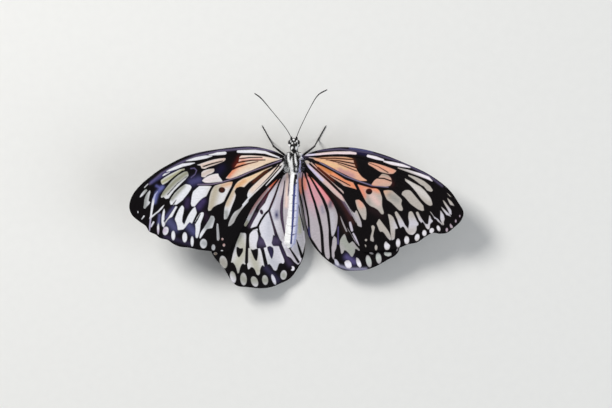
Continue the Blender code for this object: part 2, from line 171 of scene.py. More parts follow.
def rows_at(rows: np.ndarray, along: np.ndarray, places: np.ndarray) -> np.ndarray:
    """Rows that stand at rising distances, interpolated to other distances."""
    return np.stack([np.interp(places, along, column) for column in rows.T], axis=1)


def at_shares(line: np.ndarray, shares: np.ndarray) -> np.ndarray:
    """Places on a line by their share of its length, one a row."""
    along = run_along(line)
    return rows_at(line, along, shares * along[-1])


def length_of(line: np.ndarray) -> float:
    """The length of a line."""
    return np.linalg.norm(np.diff(line, axis=0), axis=1).sum()


def drawn(line: Drawn) -> np.ndarray:
    """The points of a drawn line, one a row."""
    return np.array([[float(number) for number in point.split(",")] for point in line.split()])


def rounded_loop(corners: np.ndarray) -> np.ndarray:
    """A closed outline with softly rounded corners.

    Args:
        corners: Corners of the outline, one a row.

    Returns:
        Points of the rounded outline, without a repeated end.
    """
    before = np.roll(corners, 1, axis=0)
    after = np.roll(corners, -1, axis=0)
    soft = np.stack([0.25 * before + 0.75 * corners, corners * 0.9 + 0.05 * (before + after)], axis=1)
    ends = 0.75 * corners + 0.25 * after
    return np.concatenate([soft, ends[:, None]], axis=1).reshape(-1, 2)


def outline_depth(points: np.ndarray, outline: np.ndarray) -> np.ndarray:
    """Depth inside a closed outline, below zero outside it.

    Args:
        points: Flat places, one a row.
        outline: Corners of the outline, one a row.

    Returns:
        The depth of each place in the outline's own unit.
    """
    nearest = np.full(len(points), FAR)
    crossings = np.zeros(len(points), int)
    for start, end in zip(outline, np.roll(outline, -1, axis=0)):
        way = end - start
        reach = np.clip(((points - start) @ way) / max(way @ way, TINY), 0.0, 1.0)
        gap = points - start - reach[:, None] * way
        nearest = np.minimum(nearest, np.einsum("ij,ij->i", gap, gap))
        spans = (start[1] > points[:, 1]) != (end[1] > points[:, 1])
        cross = start[0] + (points[:, 1] - start[1]) * way[0] / (way[1] or 1.0)
        crossings += spans & (cross > points[:, 0])
    depth = np.sqrt(nearest)
    return np.where(crossings % 2 == 1, depth, -depth)


def stroke_depth(points: np.ndarray, path: np.ndarray) -> np.ndarray:
    """Depth inside a brush stroke, below zero outside it.

    Args:
        points: Places, one a row.
        path: The stroke's points with its half-width there in the last column.

    Returns:
        The depth of each place.
    """
    size = path.shape[1] - 1
    if len(path) == 1:
        return path[0, size] - np.linalg.norm(points - path[0, :size], axis=1)
    best = np.full(len(points), -FAR)
    for start, end in zip(path, path[1:]):
        way = (end - start)[:size]
        reach = np.clip(((points - start[:size]) @ way) / max(way @ way, TINY), 0.0, 1.0)
        gap = np.linalg.norm(points - start[:size] - reach[:, None] * way, axis=1)
        best = np.maximum(best, start[size] + (end[size] - start[size]) * reach - gap)
    return best


@dataclass(frozen=True)
class Oval:
    """An oval spot on the marking chart, in chart squares and degrees."""

    x: float
    y: float
    half_width: float
    half_height: float
    tilt: float = 0.0

    def depth(self, points: np.ndarray) -> np.ndarray:
        """Depth of each place inside the oval, below zero outside it.

        Args:
            points: Places on the marking chart, one a row.

        Returns:
            The depth in squares of the chart.
        """
        turn = math.radians(self.tilt)
        across = points - np.array([self.x, self.y])
        u = across[:, 0] * math.cos(turn) + across[:, 1] * math.sin(turn)
        v = across[:, 1] * math.cos(turn) - across[:, 0] * math.sin(turn)
        share = np.hypot(u / self.half_width, v / self.half_height)
        return (1.0 - share) * min(self.half_width, self.half_height)


@dataclass(frozen=True)
class Wash:
    """A soft wash of colour along a line of the marking chart."""

    line: Drawn
    reach: float
    colour: Colour
    strength: float = 1.0

    def over(self, tint: np.ndarray, chart: np.ndarray) -> np.ndarray:
        """The tint of each place on the chart with this wash laid over it.

        Args:
            tint: The tint of each place before.
            chart: The places, one a row.

        Returns:
            The new tint of each place.
        """
        gap = -stroke_depth(chart, np.pad(drawn(self.line), ((0, 0), (0, 1))))
        share = self.strength * np.exp(-((gap / self.reach) ** 2))[:, None]
        return blend(tint, tone(self.colour), share)


def linear(colour: Colour) -> Colour:
    """The light value of a display colour."""
    return tuple(c / 12.92 if c <= 0.04045 else ((c + 0.055) / 1.055) ** 2.4 for c in colour)


def tone(colour: Colour) -> np.ndarray:
    """The light value of a display colour as a row."""
    return np.array(linear(colour))


def blend(first: np.ndarray, second: np.ndarray, share: np.ndarray) -> np.ndarray:
    """Two tints mixed by the share of the second one."""
    return first * (1.0 - share) + second * share


def washed(colour: Colour, washes: Sequence[Wash], chart: np.ndarray) -> np.ndarray:
    """One colour with washes laid over it in order.

    Args:
        colour: The colour below.
        washes: The washes, the lowest first.
        chart: Places on the marking chart, one a row.

    Returns:
        The tint of each place.
    """
    tint = np.tile(tone(colour), (len(chart), 1))
    for wash in washes:
        tint = wash.over(tint, chart)
    return tint


# ---------------------------------------------------------------- shader maths


class Value:
    """A socket of a material, so that shader maths can be written as expressions."""

    def __init__(self, bench: Bench, socket: bpy.types.NodeSocket) -> None:
        """Wraps one output socket of the bench's material."""
        self.bench = bench
        self.socket = socket

    def _math(self, operation: str, first: object, second: object) -> Value:
        """A Math node on two inputs."""
        node = self.bench.node("ShaderNodeMath", {"operation": operation}, {0: first, 1: second})
        return Value(self.bench, node.outputs[0])

    def __add__(self, other: object) -> Value:
        """This value plus another."""
        return self._math("ADD", self, other)

    def __radd__(self, other: object) -> Value:
        """Another value plus this one."""
        return self._math("ADD", other, self)

    def __sub__(self, other: object) -> Value:
        """This value minus another."""
        return self._math("SUBTRACT", self, other)

    def __rsub__(self, other: object) -> Value:
        """Another value minus this one."""
        return self._math("SUBTRACT", other, self)

    def __mul__(self, other: object) -> Value:
        """This value times another."""
        return self._math("MULTIPLY", self, other)

    def step(self, low: float, high: float) -> Value:
        """A smooth rise from 0 at low to 1 at high."""
        node = self.bench.node(
            "ShaderNodeMapRange",
            {"interpolation_type": "SMOOTHSTEP"},
            {"Value": self, "From Min": low, "From Max": high, "To Min": 0.0, "To Max": 1.0},
        )
        return Value(self.bench, node.outputs[0])


class Bench:
    """One material and the tools that add its nodes."""

    def __init__(self, name: str) -> None:
        """Starts a material with only its Principled shader and output.

        Args:
            name: The material's name.
        """
        self.material = bpy.data.materials.new(name)
        self.material.use_nodes = True
        self.tree = self.material.node_tree
        self.shader = self.tree.nodes["Principled BSDF"]

    def put(self, socket: bpy.types.NodeSocket, what: object) -> None:
        """Links a value to an input, or sets it there when it is a constant."""
        if isinstance(what, Value):
            self.tree.links.new(what.socket, socket)
        else:
            socket.default_value = what

    def node(self, kind: str, settings: dict[str, object], inputs: dict[object, object]) -> bpy.types.Node:
        """Adds a node.

        Args:
            kind: The node's type.
            settings: Properties that are set before the sockets.
            inputs: Values or links by socket name or number.

        Returns:
            The new node.
        """
        made = self.tree.nodes.new(kind)
        for name, setting in settings.items():
            setattr(made, name, setting)
        for key, what in inputs.items():
            self.put(made.inputs[key], what)
        return made

    def attribute(self, name: str, output: str) -> Value:
        """An attribute of the piece, by name and output."""
        return Value(self, self.node("ShaderNodeAttribute", {"attribute_name": name}, {}).outputs[output])

    def noise(self, vector: object, scale: float, detail: float = 2.0) -> Value:
        """Noise from 0 to 1 over a vector."""
        made = self.node("ShaderNodeTexNoise", {}, {"Vector": vector, "Scale": scale, "Detail": detail})
        return Value(self, made.outputs["Fac"])

    def cells(self, vector: object, scale: float) -> Value:
        """Distance to the middle of scattered cells."""
        made = self.node("ShaderNodeTexVoronoi", {}, {"Vector": vector, "Scale": scale})
        return Value(self, made.outputs["Distance"])

    def stretched(self, vector: object, stretch: Sequence[float]) -> Value:
        """A vector stretched along its axes."""
        made = self.node("ShaderNodeVectorMath", {"operation": "MULTIPLY"}, {0: vector, 1: tuple(stretch)})
        return Value(self, made.outputs[0])

    def mix(self, share: object, first: object, second: object, mode: str = "MIX") -> Value:
        """A mix of two colours by a share from 0 to 1."""
        settings = {"data_type": "RGBA", "blend_type": mode}
        return Value(self, self.node("ShaderNodeMix", settings, {0: share, 6: first, 7: second}).outputs[2])

    def shaded(self, attribute: str, level: Value) -> Value:
        """The colour of an attribute, made darker or lighter by a level.

        Args:
            attribute: The attribute's name.
            level: The level that it is multiplied by.

        Returns:
            The colour.
        """
        colour = self.attribute(attribute, "Color")
        grey = self.node("ShaderNodeCombineColor", {}, {0: level, 1: level, 2: level})
        return self.mix(1.0, colour, Value(self, grey.outputs[0]), "MULTIPLY")

    def place(self) -> Value:
        """The place in the piece's own coordinates, in metres."""
        return Value(self, self.node("ShaderNodeTexCoord", {}, {}).outputs["Object"])

    def bump(self, height: Value, distance: float, strength: float = 1.0) -> Value:
        """A normal bumped by a height, with its depth in metres."""
        made = self.node("ShaderNodeBump", {}, {"Height": height, "Distance": distance, "Strength": strength})
        return Value(self, made.outputs["Normal"])

    def dress(self, inputs: dict[str, object]) -> bpy.types.Material:
        """Sets the shader's inputs and gives the finished material."""
        for name, what in inputs.items():
            self.put(self.shader.inputs[name], what)
        return self.material


# ---------------------------------------------------------------- finishes


@dataclass(frozen=True)
class MarkedScales:
    """Overlapping scales that carry the painted markings of a wing or of the body."""

    name: str
    ragged: float = 0.14
    edge: float = 0.07
    scales_per_mm: float = 7.0
    scale_relief: float = 0.05
    dusted_edge: float = 0.30
    dusting: float = 0.34
    pale_roughness: float = 0.62
    dark_roughness: float = 0.50

    def material(self) -> bpy.types.Material:
        """The finish as a material that reads the piece's ink, pale tint and dark tint."""
        bench = Bench(self.name)
        plan = bench.attribute("plan", "Vector")
        grain = bench.noise(plan, 5.0, 3.0)
        ink = bench.attribute("ink", "Fac") + (grain - 0.5) * self.ragged
        dark = ink.step(-self.edge, self.edge)
        rows = bench.cells(bench.stretched(plan, (1.0, 1.5, 1.0)), self.scales_per_mm)
        dust = bench.noise(plan, 1.6, 4.0)
        fibres = bench.noise(bench.stretched(plan, (0.35, 2.6, 1.0)), 1.5, 3.0)
        clear = 1.0 - ink.step(-self.dusted_edge, 0.0) * self.dusting
        level = (0.86 + rows * 0.12 + (dust - 0.5) * 0.26 + (fibres - 0.5) * 0.30) * clear
        pale = bench.shaded("pale_tint", level)
        deep = bench.shaded("dark_tint", 0.7 + dust * 0.5)
        relief = rows * 0.7 + grain * 0.5 + fibres * 0.6
        return bench.dress(
            {
                "Base Color": bench.mix(dark, pale, deep),
                "Roughness": self.pale_roughness + dark * (self.dark_roughness - self.pale_roughness),
                "Normal": bench.bump(relief, self.scale_relief * MM),
                "Specular IOR Level": 0.07,
            }
        )


@dataclass(frozen=True)
class Cuticle:
    """Satin black chitin with fine pores and a dusting of paler scales."""

    name: str = "satin_black_cuticle"
    deep: Colour = (0.07, 0.06, 0.07)
    worn: Colour = (0.24, 0.22, 0.25)
    roughness: float = 0.36

    def material(self) -> bpy.types.Material:
        """The finish as a material on the piece's own coordinates."""
        bench = Bench(self.name)
        place = bench.place()
        patches = bench.noise(place, 900.0, 4.0)
        pores = bench.cells(place, 7000.0)
        dusted = patches.step(0.52, 0.78) * 0.5
        colour = bench.mix(dusted, (*linear(self.deep), 1.0), (*linear(self.worn), 1.0))
        return bench.dress(
            {
                "Base Color": colour,
                "Roughness": self.roughness + patches * 0.22,
                "Normal": bench.bump(pores + patches, 0.02 * MM),
                "Specular IOR Level": 0.35,
            }
        )


@dataclass(frozen=True)
class FacetedEye:
    """Dark compound eye with rows of minute facets under a glossy surface."""

    name: str = "faceted_eye"
    deep: Colour = (0.03, 0.022, 0.028)
    glow: Colour = (0.10, 0.085, 0.11)
    facets_per_metre: float = 11000.0

    def material(self) -> bpy.types.Material:
        """The finish as a material on the piece's own coordinates."""
        bench = Bench(self.name)
        place = bench.place()
        facets = bench.cells(place, self.facets_per_metre)
        cloud = bench.noise(place, 700.0, 2.0)
        colour = bench.mix(cloud.step(0.45, 0.75), (*linear(self.deep), 1.0), (*linear(self.glow), 1.0))
        return bench.dress(
            {
                "Base Color": colour,
                "Roughness": 0.14 + facets * 0.2,
                "Normal": bench.bump(1.0 - facets, 0.02 * MM),
                "Coat Weight": 0.25,
                "Specular IOR Level": 0.3,
            }
        )


@dataclass(frozen=True)
class Coat:
    """Fine hairs, each in the pale or dark tint of the skin at its root."""

    name: str = "hair_coat"

    def material(self) -> bpy.types.Material:
        """The finish as a material that reads each hair's root colour."""
        bench = Bench(self.name)
        streaks = bench.noise(bench.place(), 6000.0, 2.0)
        colour = bench.shaded("root_colour", 0.85 + streaks * 0.3)
        return bench.dress({"Base Color": colour, "Roughness": 0.5 + streaks * 0.1, "Sheen Weight": 0.1})


@dataclass(frozen=True)
class StudioFloor:
    """Plain pale matt paper floor."""

    name: str = "pale_floor"
    colour: Colour = PAPER
    tooth: Colour = (0.66, 0.66, 0.65)

    def material(self) -> bpy.types.Material:
        """The finish as a material with a faint tooth."""
        bench = Bench(self.name)
        tooth = bench.noise(bench.place(), 300.0, 3.0)
        colour = bench.mix(tooth * 0.25, (*linear(self.colour), 1.0), (*self.tooth, 1.0))
        return bench.dress({"Base Color": colour, "Roughness": 0.85 + tooth * 0.1})


# ---------------------------------------------------------------- making meshes


def deselect() -> None:
    """Deselects every object, since an operator acts on all that is selected."""
    bpy.ops.object.select_all(action="DESELECT")


def only(piece: bpy.types.Object) -> None:
    """Selects one piece alone and makes it the active one.

    Args:
        piece: The piece.
    """
    deselect()
    piece.select_set(True)
    bpy.context.view_layer.objects.active = piece


def ball(segments: int, rings: int) -> bpy.types.Object:
    """A round form of radius 1, to be shaped.

    Args:
        segments: Faces around.
        rings: Faces from pole to pole.

    Returns:
        The new object.
    """
    deselect()
    bpy.ops.mesh.primitive_uv_sphere_add(segments=segments, ring_count=rings, radius=1.0)
    return bpy.context.active_object


def poled(piece: bpy.types.Object, ease: float) -> tuple[np.ndarray, np.ndarray]:
    """Share of the way from pole to pole and angle round the axis of each point of a ball.

    Args:
        piece: The ball.
        ease: How much closer the shares lie together at the poles than in the middle.

    Returns:
        The shares and the angles.
    """
    points = coordinates(piece)
    share = np.arccos(np.clip(points[:, 2], -1.0, 1.0)) / math.pi
    return share - ease * np.sin(math.tau * share), np.arctan2(points[:, 1], points[:, 0])


def domed(from_end: np.ndarray, reach: np.ndarray | float) -> np.ndarray:
    """Share of the full radius that a rounded end leaves at distances from it."""
    return np.sqrt(np.clip(1.0 - np.clip(1.0 - from_end / reach, 0.0, 1.0) ** 2, 0.0, 1.0))


def apply_modifiers(piece: bpy.types.Object) -> None:
    """Applies every modifier of a piece in order."""
    only(piece)
    for modifier in list(piece.modifiers):
        bpy.ops.object.modifier_apply(modifier=modifier.name)


def coordinates(piece: bpy.types.Object) -> np.ndarray:
    """The piece's points, one a row.

    Args:
        piece: The piece.

    Returns:
        The points in the piece's own unit.
    """
    flat = np.empty(len(piece.data.vertices) * 3)
    piece.data.vertices.foreach_get("co", flat)
    return flat.reshape(-1, 3)


def move_points(piece: bpy.types.Object, points: np.ndarray) -> None:
    """Puts the piece's points at new places."""
    piece.data.vertices.foreach_set("co", points.reshape(-1))
    piece.data.update()


def outward(piece: bpy.types.Object) -> None:
    """Merges doubles and turns the faces of a closed piece outwards.

    Args:
        piece: The piece.
    """
    only(piece)
    bpy.ops.object.mode_set(mode="EDIT")
    bpy.ops.mesh.select_all(action="SELECT")
    bpy.ops.mesh.remove_doubles(threshold=1e-7)
    bpy.ops.mesh.normals_make_consistent(inside=False)
    bpy.ops.object.mode_set(mode="OBJECT")


def smooth(piece: bpy.types.Object, degrees: float = 60.0) -> None:
    """Shades a piece smooth, apart from edges sharper than an angle."""
    only(piece)
    bpy.ops.object.shade_smooth_by_angle(angle=math.radians(degrees))


def joined(pieces: list[bpy.types.Object], name: str) -> bpy.types.Object:
    """One piece of several.

    Args:
        pieces: The pieces; the first takes the others in.
        name: The name of the joined piece.

    Returns:
        The joined piece.
    """
    deselect()
    for piece in pieces:
        piece.select_set(True)
    bpy.context.view_layer.objects.active = pieces[0]
    if len(pieces) > 1:
        bpy.ops.object.join()
    pieces[0].name = name
    pieces[0].data.name = name
    return pieces[0]


def to_floor(points: np.ndarray) -> np.ndarray:
    """Places in mm of the body's frame as places in metres over the floor."""
    turn = np.array(CARRIAGE.to_3x3())
    return (points @ turn.T + np.array(BODY_ORIGIN)) * MM


def on_chart(body: np.ndarray) -> np.ndarray:
    """Places in mm of the body's frame as places on the marking chart, which is a plan of the spread butterfly."""
    return np.array(CHART_MIDDLE) + body[:, :2] * np.array([1.0, -1.0]) / CHART_SQUARE


def store(piece: bpy.types.Object, name: str, values: np.ndarray, kind: str = "FLOAT") -> None:
    """Stores one value for each point of a piece.

    Args:
        piece: The piece.
        name: The attribute's name.
        values: One row for each point.
        kind: FLOAT, FLOAT_VECTOR or FLOAT_COLOR.
    """
    layer = piece.data.attributes.new(name, kind, "POINT")
    if kind == "FLOAT_COLOR":
        values = np.concatenate([values, np.ones((len(values), 1))], axis=1)
    key = {"FLOAT": "value", "FLOAT_VECTOR": "vector", "FLOAT_COLOR": "color"}[kind]
    layer.data.foreach_set(key, np.ascontiguousarray(values, np.float32).reshape(-1))


def paint(piece: bpy.types.Object, ink: np.ndarray, plan: np.ndarray, pale: np.ndarray, dark: np.ndarray) -> None:
    """Stores what the marked scales read.

    Args:
        piece: The piece.
        ink: Depth of each point inside the dark markings.
        plan: Place of each point on which the scales are laid out.
        pale: Tint of the pale scales there.
        dark: Tint of the dark ones.
    """
    store(piece, "ink", ink)
    store(piece, "plan", plan, "FLOAT_VECTOR")
    store(piece, "pale_tint", pale, "FLOAT_COLOR")
    store(piece, "dark_tint", dark, "FLOAT_COLOR")


def placed(piece: bpy.types.Object, points: np.ndarray) -> None:
    """Moves a closed piece's points, turns its faces outwards and shades it smooth.

    Args:
        piece: The piece.
        points: Its new places in metres, one a row.
    """
    move_points(piece, points)
    outward(piece)
    smooth(piece)


def finished(
    piece: bpy.types.Object, material: bpy.types.Material, nodes: Sequence[str]
) -> bpy.types.Object:
    """Dresses a piece, hangs it on the body, hides the solids that it replaces and logs its faces.

    Args:
        piece: The piece.
        material: Its finish.
        nodes: The solids that it replaces.

    Returns:
        The piece.
    """
    piece.data.materials.clear()
    piece.data.materials.append(material)
    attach(piece, BODY)
    if nodes:
        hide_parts(*nodes)
    log.info("%s: %d faces", piece.name, len(piece.data.polygons))
    return piece


# How much closer a rod's rings lie at its ends, and a direction that no rod starts along.
ROD_EASE = 0.04
ROD_START = (0.31, 0.2, 0.93)


def rod(
    name: str, path: np.ndarray, radius: Callable[[np.ndarray], np.ndarray], segments: int, rings: int
) -> bpy.types.Object:
    """A round form along a path, shaped from a sphere so that both ends close.

    Args:
        name: The piece's name.
        path: Closely spaced points in mm.
        radius: Gives the radius in mm at each distance along the path.
        segments: Faces around.
        rings: Faces along.

    Returns:
        The piece, in mm of the path's frame.
    """
    piece = ball(segments, rings)
    piece.name = name
    share, around = poled(piece, ROD_EASE)
    along = run_along(path)
    distance = np.clip(share, 0.0, 1.0) * along[-1]
    size = radius(distance)
    size = size * domed(np.minimum(distance, along[-1] - distance), np.maximum(size, 1e-6))
    ahead = np.gradient(path, axis=0)
    ahead /= np.linalg.norm(ahead, axis=1, keepdims=True)
    normal = np.cross(ahead[0], ROD_START)
    normals = []
    for direction in ahead:
        normal = normal - direction * (normal @ direction)
        normal = normal / np.linalg.norm(normal)
        normals.append(normal)
    centre, direction, side = (rows_at(rows, along, distance) for rows in (path, ahead, np.array(normals)))
    ring = side * np.cos(around)[:, None] + np.cross(direction, side) * np.sin(around)[:, None]
    move_points(piece, centre + ring * size[:, None])
    return piece


def rested(path: Points, step: float, rounding: int) -> np.ndarray:
    """A bent path with softly rounded knees.

    Args:
        path: The corners of the path.
        step: Distance between the new points.
        rounding: How many times neighbouring points are averaged.

    Returns:
        The new points, one a row.
    """
    line = resampled(np.array(path, float), step)
    for _ in range(rounding):
        line[1:-1] = 0.25 * line[:-2] + 0.5 * line[1:-1] + 0.25 * line[2:]
    return line


# ---------------------------------------------------------------- markings of the wings


# Depth in mm past which the markings' field says no more.
MOST_INK = 2.0


@dataclass(frozen=True)
class Markings:
    """The painted markings of one wing on its chart: pale panels first, then dark strokes, then the last pale ones."""

    panels: dict[str, Drawn]
    pale_dots: Sequence[Oval]
    dark_strokes: dict[str, Drawn]
    dark_panels: dict[str, Drawn] = field(default_factory=dict)
    dark_dots: Sequence[Oval] = ()
    last_pale_strokes: dict[str, Drawn] = field(default_factory=dict)

    def ink(self, chart: np.ndarray) -> np.ndarray:
        """Depth of each place inside the dark markings, in mm and below zero on the pale panels.

        Args:
            chart: Places on the marking chart, one a row.

        Returns:
            The depth, limited to 2 mm either way.
        """
        ink = np.full(len(chart), 9.0)
        for outline in self.panels.values():
            ink = np.minimum(ink, -outline_depth(chart, rounded_loop(drawn(outline))))
        for dot in self.pale_dots:
            ink = np.minimum(ink, -dot.depth(chart))
        for stroke in self.dark_strokes.values():
            ink = np.maximum(ink, stroke_depth(chart, drawn(stroke)))
        for outline in self.dark_panels.values():
            ink = np.maximum(ink, outline_depth(chart, rounded_loop(drawn(outline))))
        for dot in self.dark_dots:
            ink = np.maximum(ink, dot.depth(chart))
        for stroke in self.last_pale_strokes.values():
            ink = np.minimum(ink, -stroke_depth(chart, drawn(stroke)))
        return np.clip(ink * CHART_SQUARE, -MOST_INK, MOST_INK)


RIGHT_FOREWING = Markings(
    panels={
        "cell_base": "312,158.5 330,156.8 345,156.8 353,158.5 354,163 356,168 358,172 362,177 368,181 360,181 "
            "350,177 340,172 330,167.5 320,163",
        "cell_end_upper": "368,162 375,163 385,166 397,170.5 393,174 388,174 380,172 374,168 368,164.5",
        "cell_end_lower": "371,185 374,180.5 379,177 382,173.5 388,175 391,178 392,183 390,186 383,187 375,186",
        "below_cell_orange": "314,163 322,165.5 332,169.5 342,175 350,179.5 354,182.5 357,187 358,190 352,188 "
            "344,186 336,181 328,176 320,170",
        "root_beige": "304.5,161 307,160 309.5,161.5 311.5,165 314,169.5 312,169 309,166 306,163.5",
        "hind_pink": "311,161.5 316,166.5 320,171 330,180 338,187 344,191 343,197 346,203 341,200 332,192 322,182 "
            "314,172 309,166",
        "hind_grey_outer": "355,200 359,199.5 363,203 366,208 366.5,214 366,220 363,219.5 360,214 357,208",
        "hind_grey_inner": "349,207 352,211 354.5,213 356,210 358,212 361,219 362,227.5 358,226 355,222 352,217 "
            "349,211",
        "between_cubitals": "357,183.5 366,185.5 378,189 381,193 382,198 382,206 384,213 383,214.5 381,214 378,210 "
            "374,207.5 370,206 366,202 363,196 360,190",
        "below_cubital_fork": "383,190.5 388,190 392,190.5 396,194 400,197.5 402,200 401,204 403,209 402,211 "
            "399,210.5 395,206.5 391,202.5 387,200 385,196",
        "below_median_fork": "402,192 405,190 409,190 414,193 417,197 421,201 423,205 424,210.5 422,211 418,209.5 "
            "413,206 408,202 404,198 401.5,194.5",
        "outer_median": "404.5,177 410,179 416,183 422,188 427,193 431,199 432.5,205 430,206 426,204 421,199 416,192 "
            "410,185 405,181",
        "outer_radial": "408,174.5 416,177 424,181 430,186 433,190.5 431,192 427,190.5 421,185 413,179 408,176",
        "dash_a": "371,226 373,225 375,227 374,231 373,236 374,240 373.5,242 370,240.5 370.5,236 372,231",
        "dash_b": "376,224 379,218.5 381,221 384,225 387,229 389.5,233 391.5,239 390,240.5 387,237.5 384,233 "
            "382,231.5 380,232 378,229",
        "dash_c": "387.5,213.5 391,215 394,218 396,223 398,228.5 395,229 395,234 394.5,239 391.5,240.5 390.5,233 "
            "390,227 389,220",
        "dash_d": "394.5,212 396.5,211 400,216 403,221 405,225 408,228.5 410,232 411.5,234.5 409,234.5 406,231.5 "
            "404,227 402,226.5 400.5,228.5 399,225 397,219 395,215",
        "dash_e": "408.5,212 411,211 414,213.5 416,218 418,222 418.5,225 416.5,226 416.5,230 415,233 412.5,235 "
            "409.5,234.5 408,229 409,223 408,217",
        "dash_f": "415.5,212 418,211.5 420,216 422.5,220 425.5,224 428,224 428.5,219 429,215 430,215.5 431,219 "
            "433,221 431.5,222.5 430,224 429.5,228.5 428,229.5 426,228 424,223.5 422,221.5 421,224 419,221 417,217",
        "dash_g": "429.5,211 431,212 434,216.5 438,219 441,223 443.5,225.5 441,225 438,222 436,219 434,218.5 "
            "431.5,215",
        "dash_h": "440,210 442,211 443.5,215 444.5,219 443.5,222 444,225 442,224 440,219 440,214",
        "dash_i": "440.5,206 444,209 447,212 450,215 451,217 448,215.5 445,214.5 443,211",
        "dash_j": "442,199 445,202 448,206 451,210 451.5,215 449.5,214 447,209 444,204",
        "dash_k": "446.5,197 449,199.5 452,202 455,206.5 452.5,205.5 450,205 448,201",
        "dash_l": "446,192 449,194.5 452,197.5 449.5,196.5",
    },
    pale_dots=(
        Oval(376, 247.5, 1.4, 2.8), Oval(387, 245.5, 3, 4.7), Oval(398, 243, 2.2, 4.6), Oval(406.6, 240, 2.5, 4.3),
        Oval(417, 237.4, 2.4, 3.7, 12), Oval(424.2, 233, 2.2, 3.2), Oval(431.4, 230.6, 2.3, 2.8, 30),
        Oval(438.3, 228.3, 1.7, 3.1, -20), Oval(446.6, 229.8, 1.2, 2.1), Oval(451.4, 225.3, 1.9, 2.9),
        Oval(455.5, 221, 0.9, 1.6), Oval(459.5, 216, 0.7, 1.2), Oval(366, 240, 1.2, 1.2), Oval(364.5, 246, 1.8, 1.8),
    ),
    dark_strokes={
        "cell_streak_upper": "318,158.6,0.4 335,158.3,0.6 353,159.6,0.6",
        "cell_streak_middle": "326,159.8,0.3 340,161,0.6 354.5,163.8,0.7",
        "cell_streak_lower": "330,160.5,0.3 342,163.4,0.5 356,167.6,0.7",
        "cell_streak_last": "338,163.6,0.2 348,167.6,0.4 357,171.2,0.4",
        "cell_upper_crease": "368,162.6,0.2 378,166.5,0.3 388,172.5,0.4",
        "cell_end_crease": "376,178,0.5 384,178.5,0.6 391,181,0.6",
        "brown_streak": "318,168,1 330,178,1.4 340,185,1.8 346,191,2.4",
        "cubitus": "304,158.5,0.8 310,160,1.3 322,164.4,1.6 334,170.6,1.6 346,178.4,1.5 360,183.6,1.3 372,187,1.3 "
            "384,187.6,1.2",
        "below_cell_vein": "330,175,0.3 340,180.2,0.5 350,185.5,0.4",
        "cubitus_2": "354,182,1 363,199,1 372,216,1.4 378,231,1.3 386,240,0.9 391.6,245,1.2 392.4,250,1.5",
        "cubitus_1": "380,189,0.9 384,200,1 393,213,1.4 399,228,1.1 405.5,233.8,0.8 411,237.5,1.2 412,243,1.5",
        "media_3": "392,188,1.2 404,198,1 412,208,1.3 418,221,1.1 424,227.4,0.8 428.3,231,1 428.6,235,1.2",
        "media_2": "395,180,1.2 410,188.5,1 424,205,1.1 434,220,1.2 439,223.5,0.8 442.4,227,1 443.6,233,1.2",
        "media_1": "402,176,0.8 423,187,0.9 439,207,1 448,219,1 455,227.5,1.2",
        "radius_5": "430,182,0.8 450,198,0.9 461,214,0.9",
        "fold_line": "357,209,0.5 362,222,0.6",
        "anal": "310,164,0.9 330,182,1.2 343,195,1.2 355,222,1.2 366,252,1.2",
    },
    dark_dots=(Oval(369, 191.5, 3.2, 2.9),),
    last_pale_strokes={
        "costa_inner": "305,155.2,0.7 313,154.8,1 323,153.7,1.2 335,152.8,1.5 350,152.8,1.5 355.5,153.5,1.2",
        "root_white": "309,157.6,0.3 314,158.3,0.7 320,159.2,0.6 326,160.5,0.3",
        "root_lilac": "302,153.2,0.6 305,153.4,0.8 308,153.2,0.5",
        "costa_middle": "368,156,1.4 376,158,1.7 383,160,1",
        "costa_outer": "384,161.5,0.8 392,163.5,1.7 402,165.5,1.6 410,167.5,0.6",
        "costa_far": "398,168,0.5 408,171,1.2 420,175,1.6 428,178,1.6 432,181,0.6",
        "hind_lilac_line": "306.5,163.5,0.6 309.5,167,1.2 314,172,1.3 320,179,1 325,184.5,0.6 331,190,0.4",
        "fold_lilac_line": "341,195,0.5 349,208,0.6 356,222,0.4",
        "rear_fleck": "350,222.6,1.1 350.8,226,1.4 352,230.4,1.2",
        "rear_streak": "353.2,233.6,0.9 355,237,1.1 357.4,242,0.8 359,245.5,0.4",
    },
)

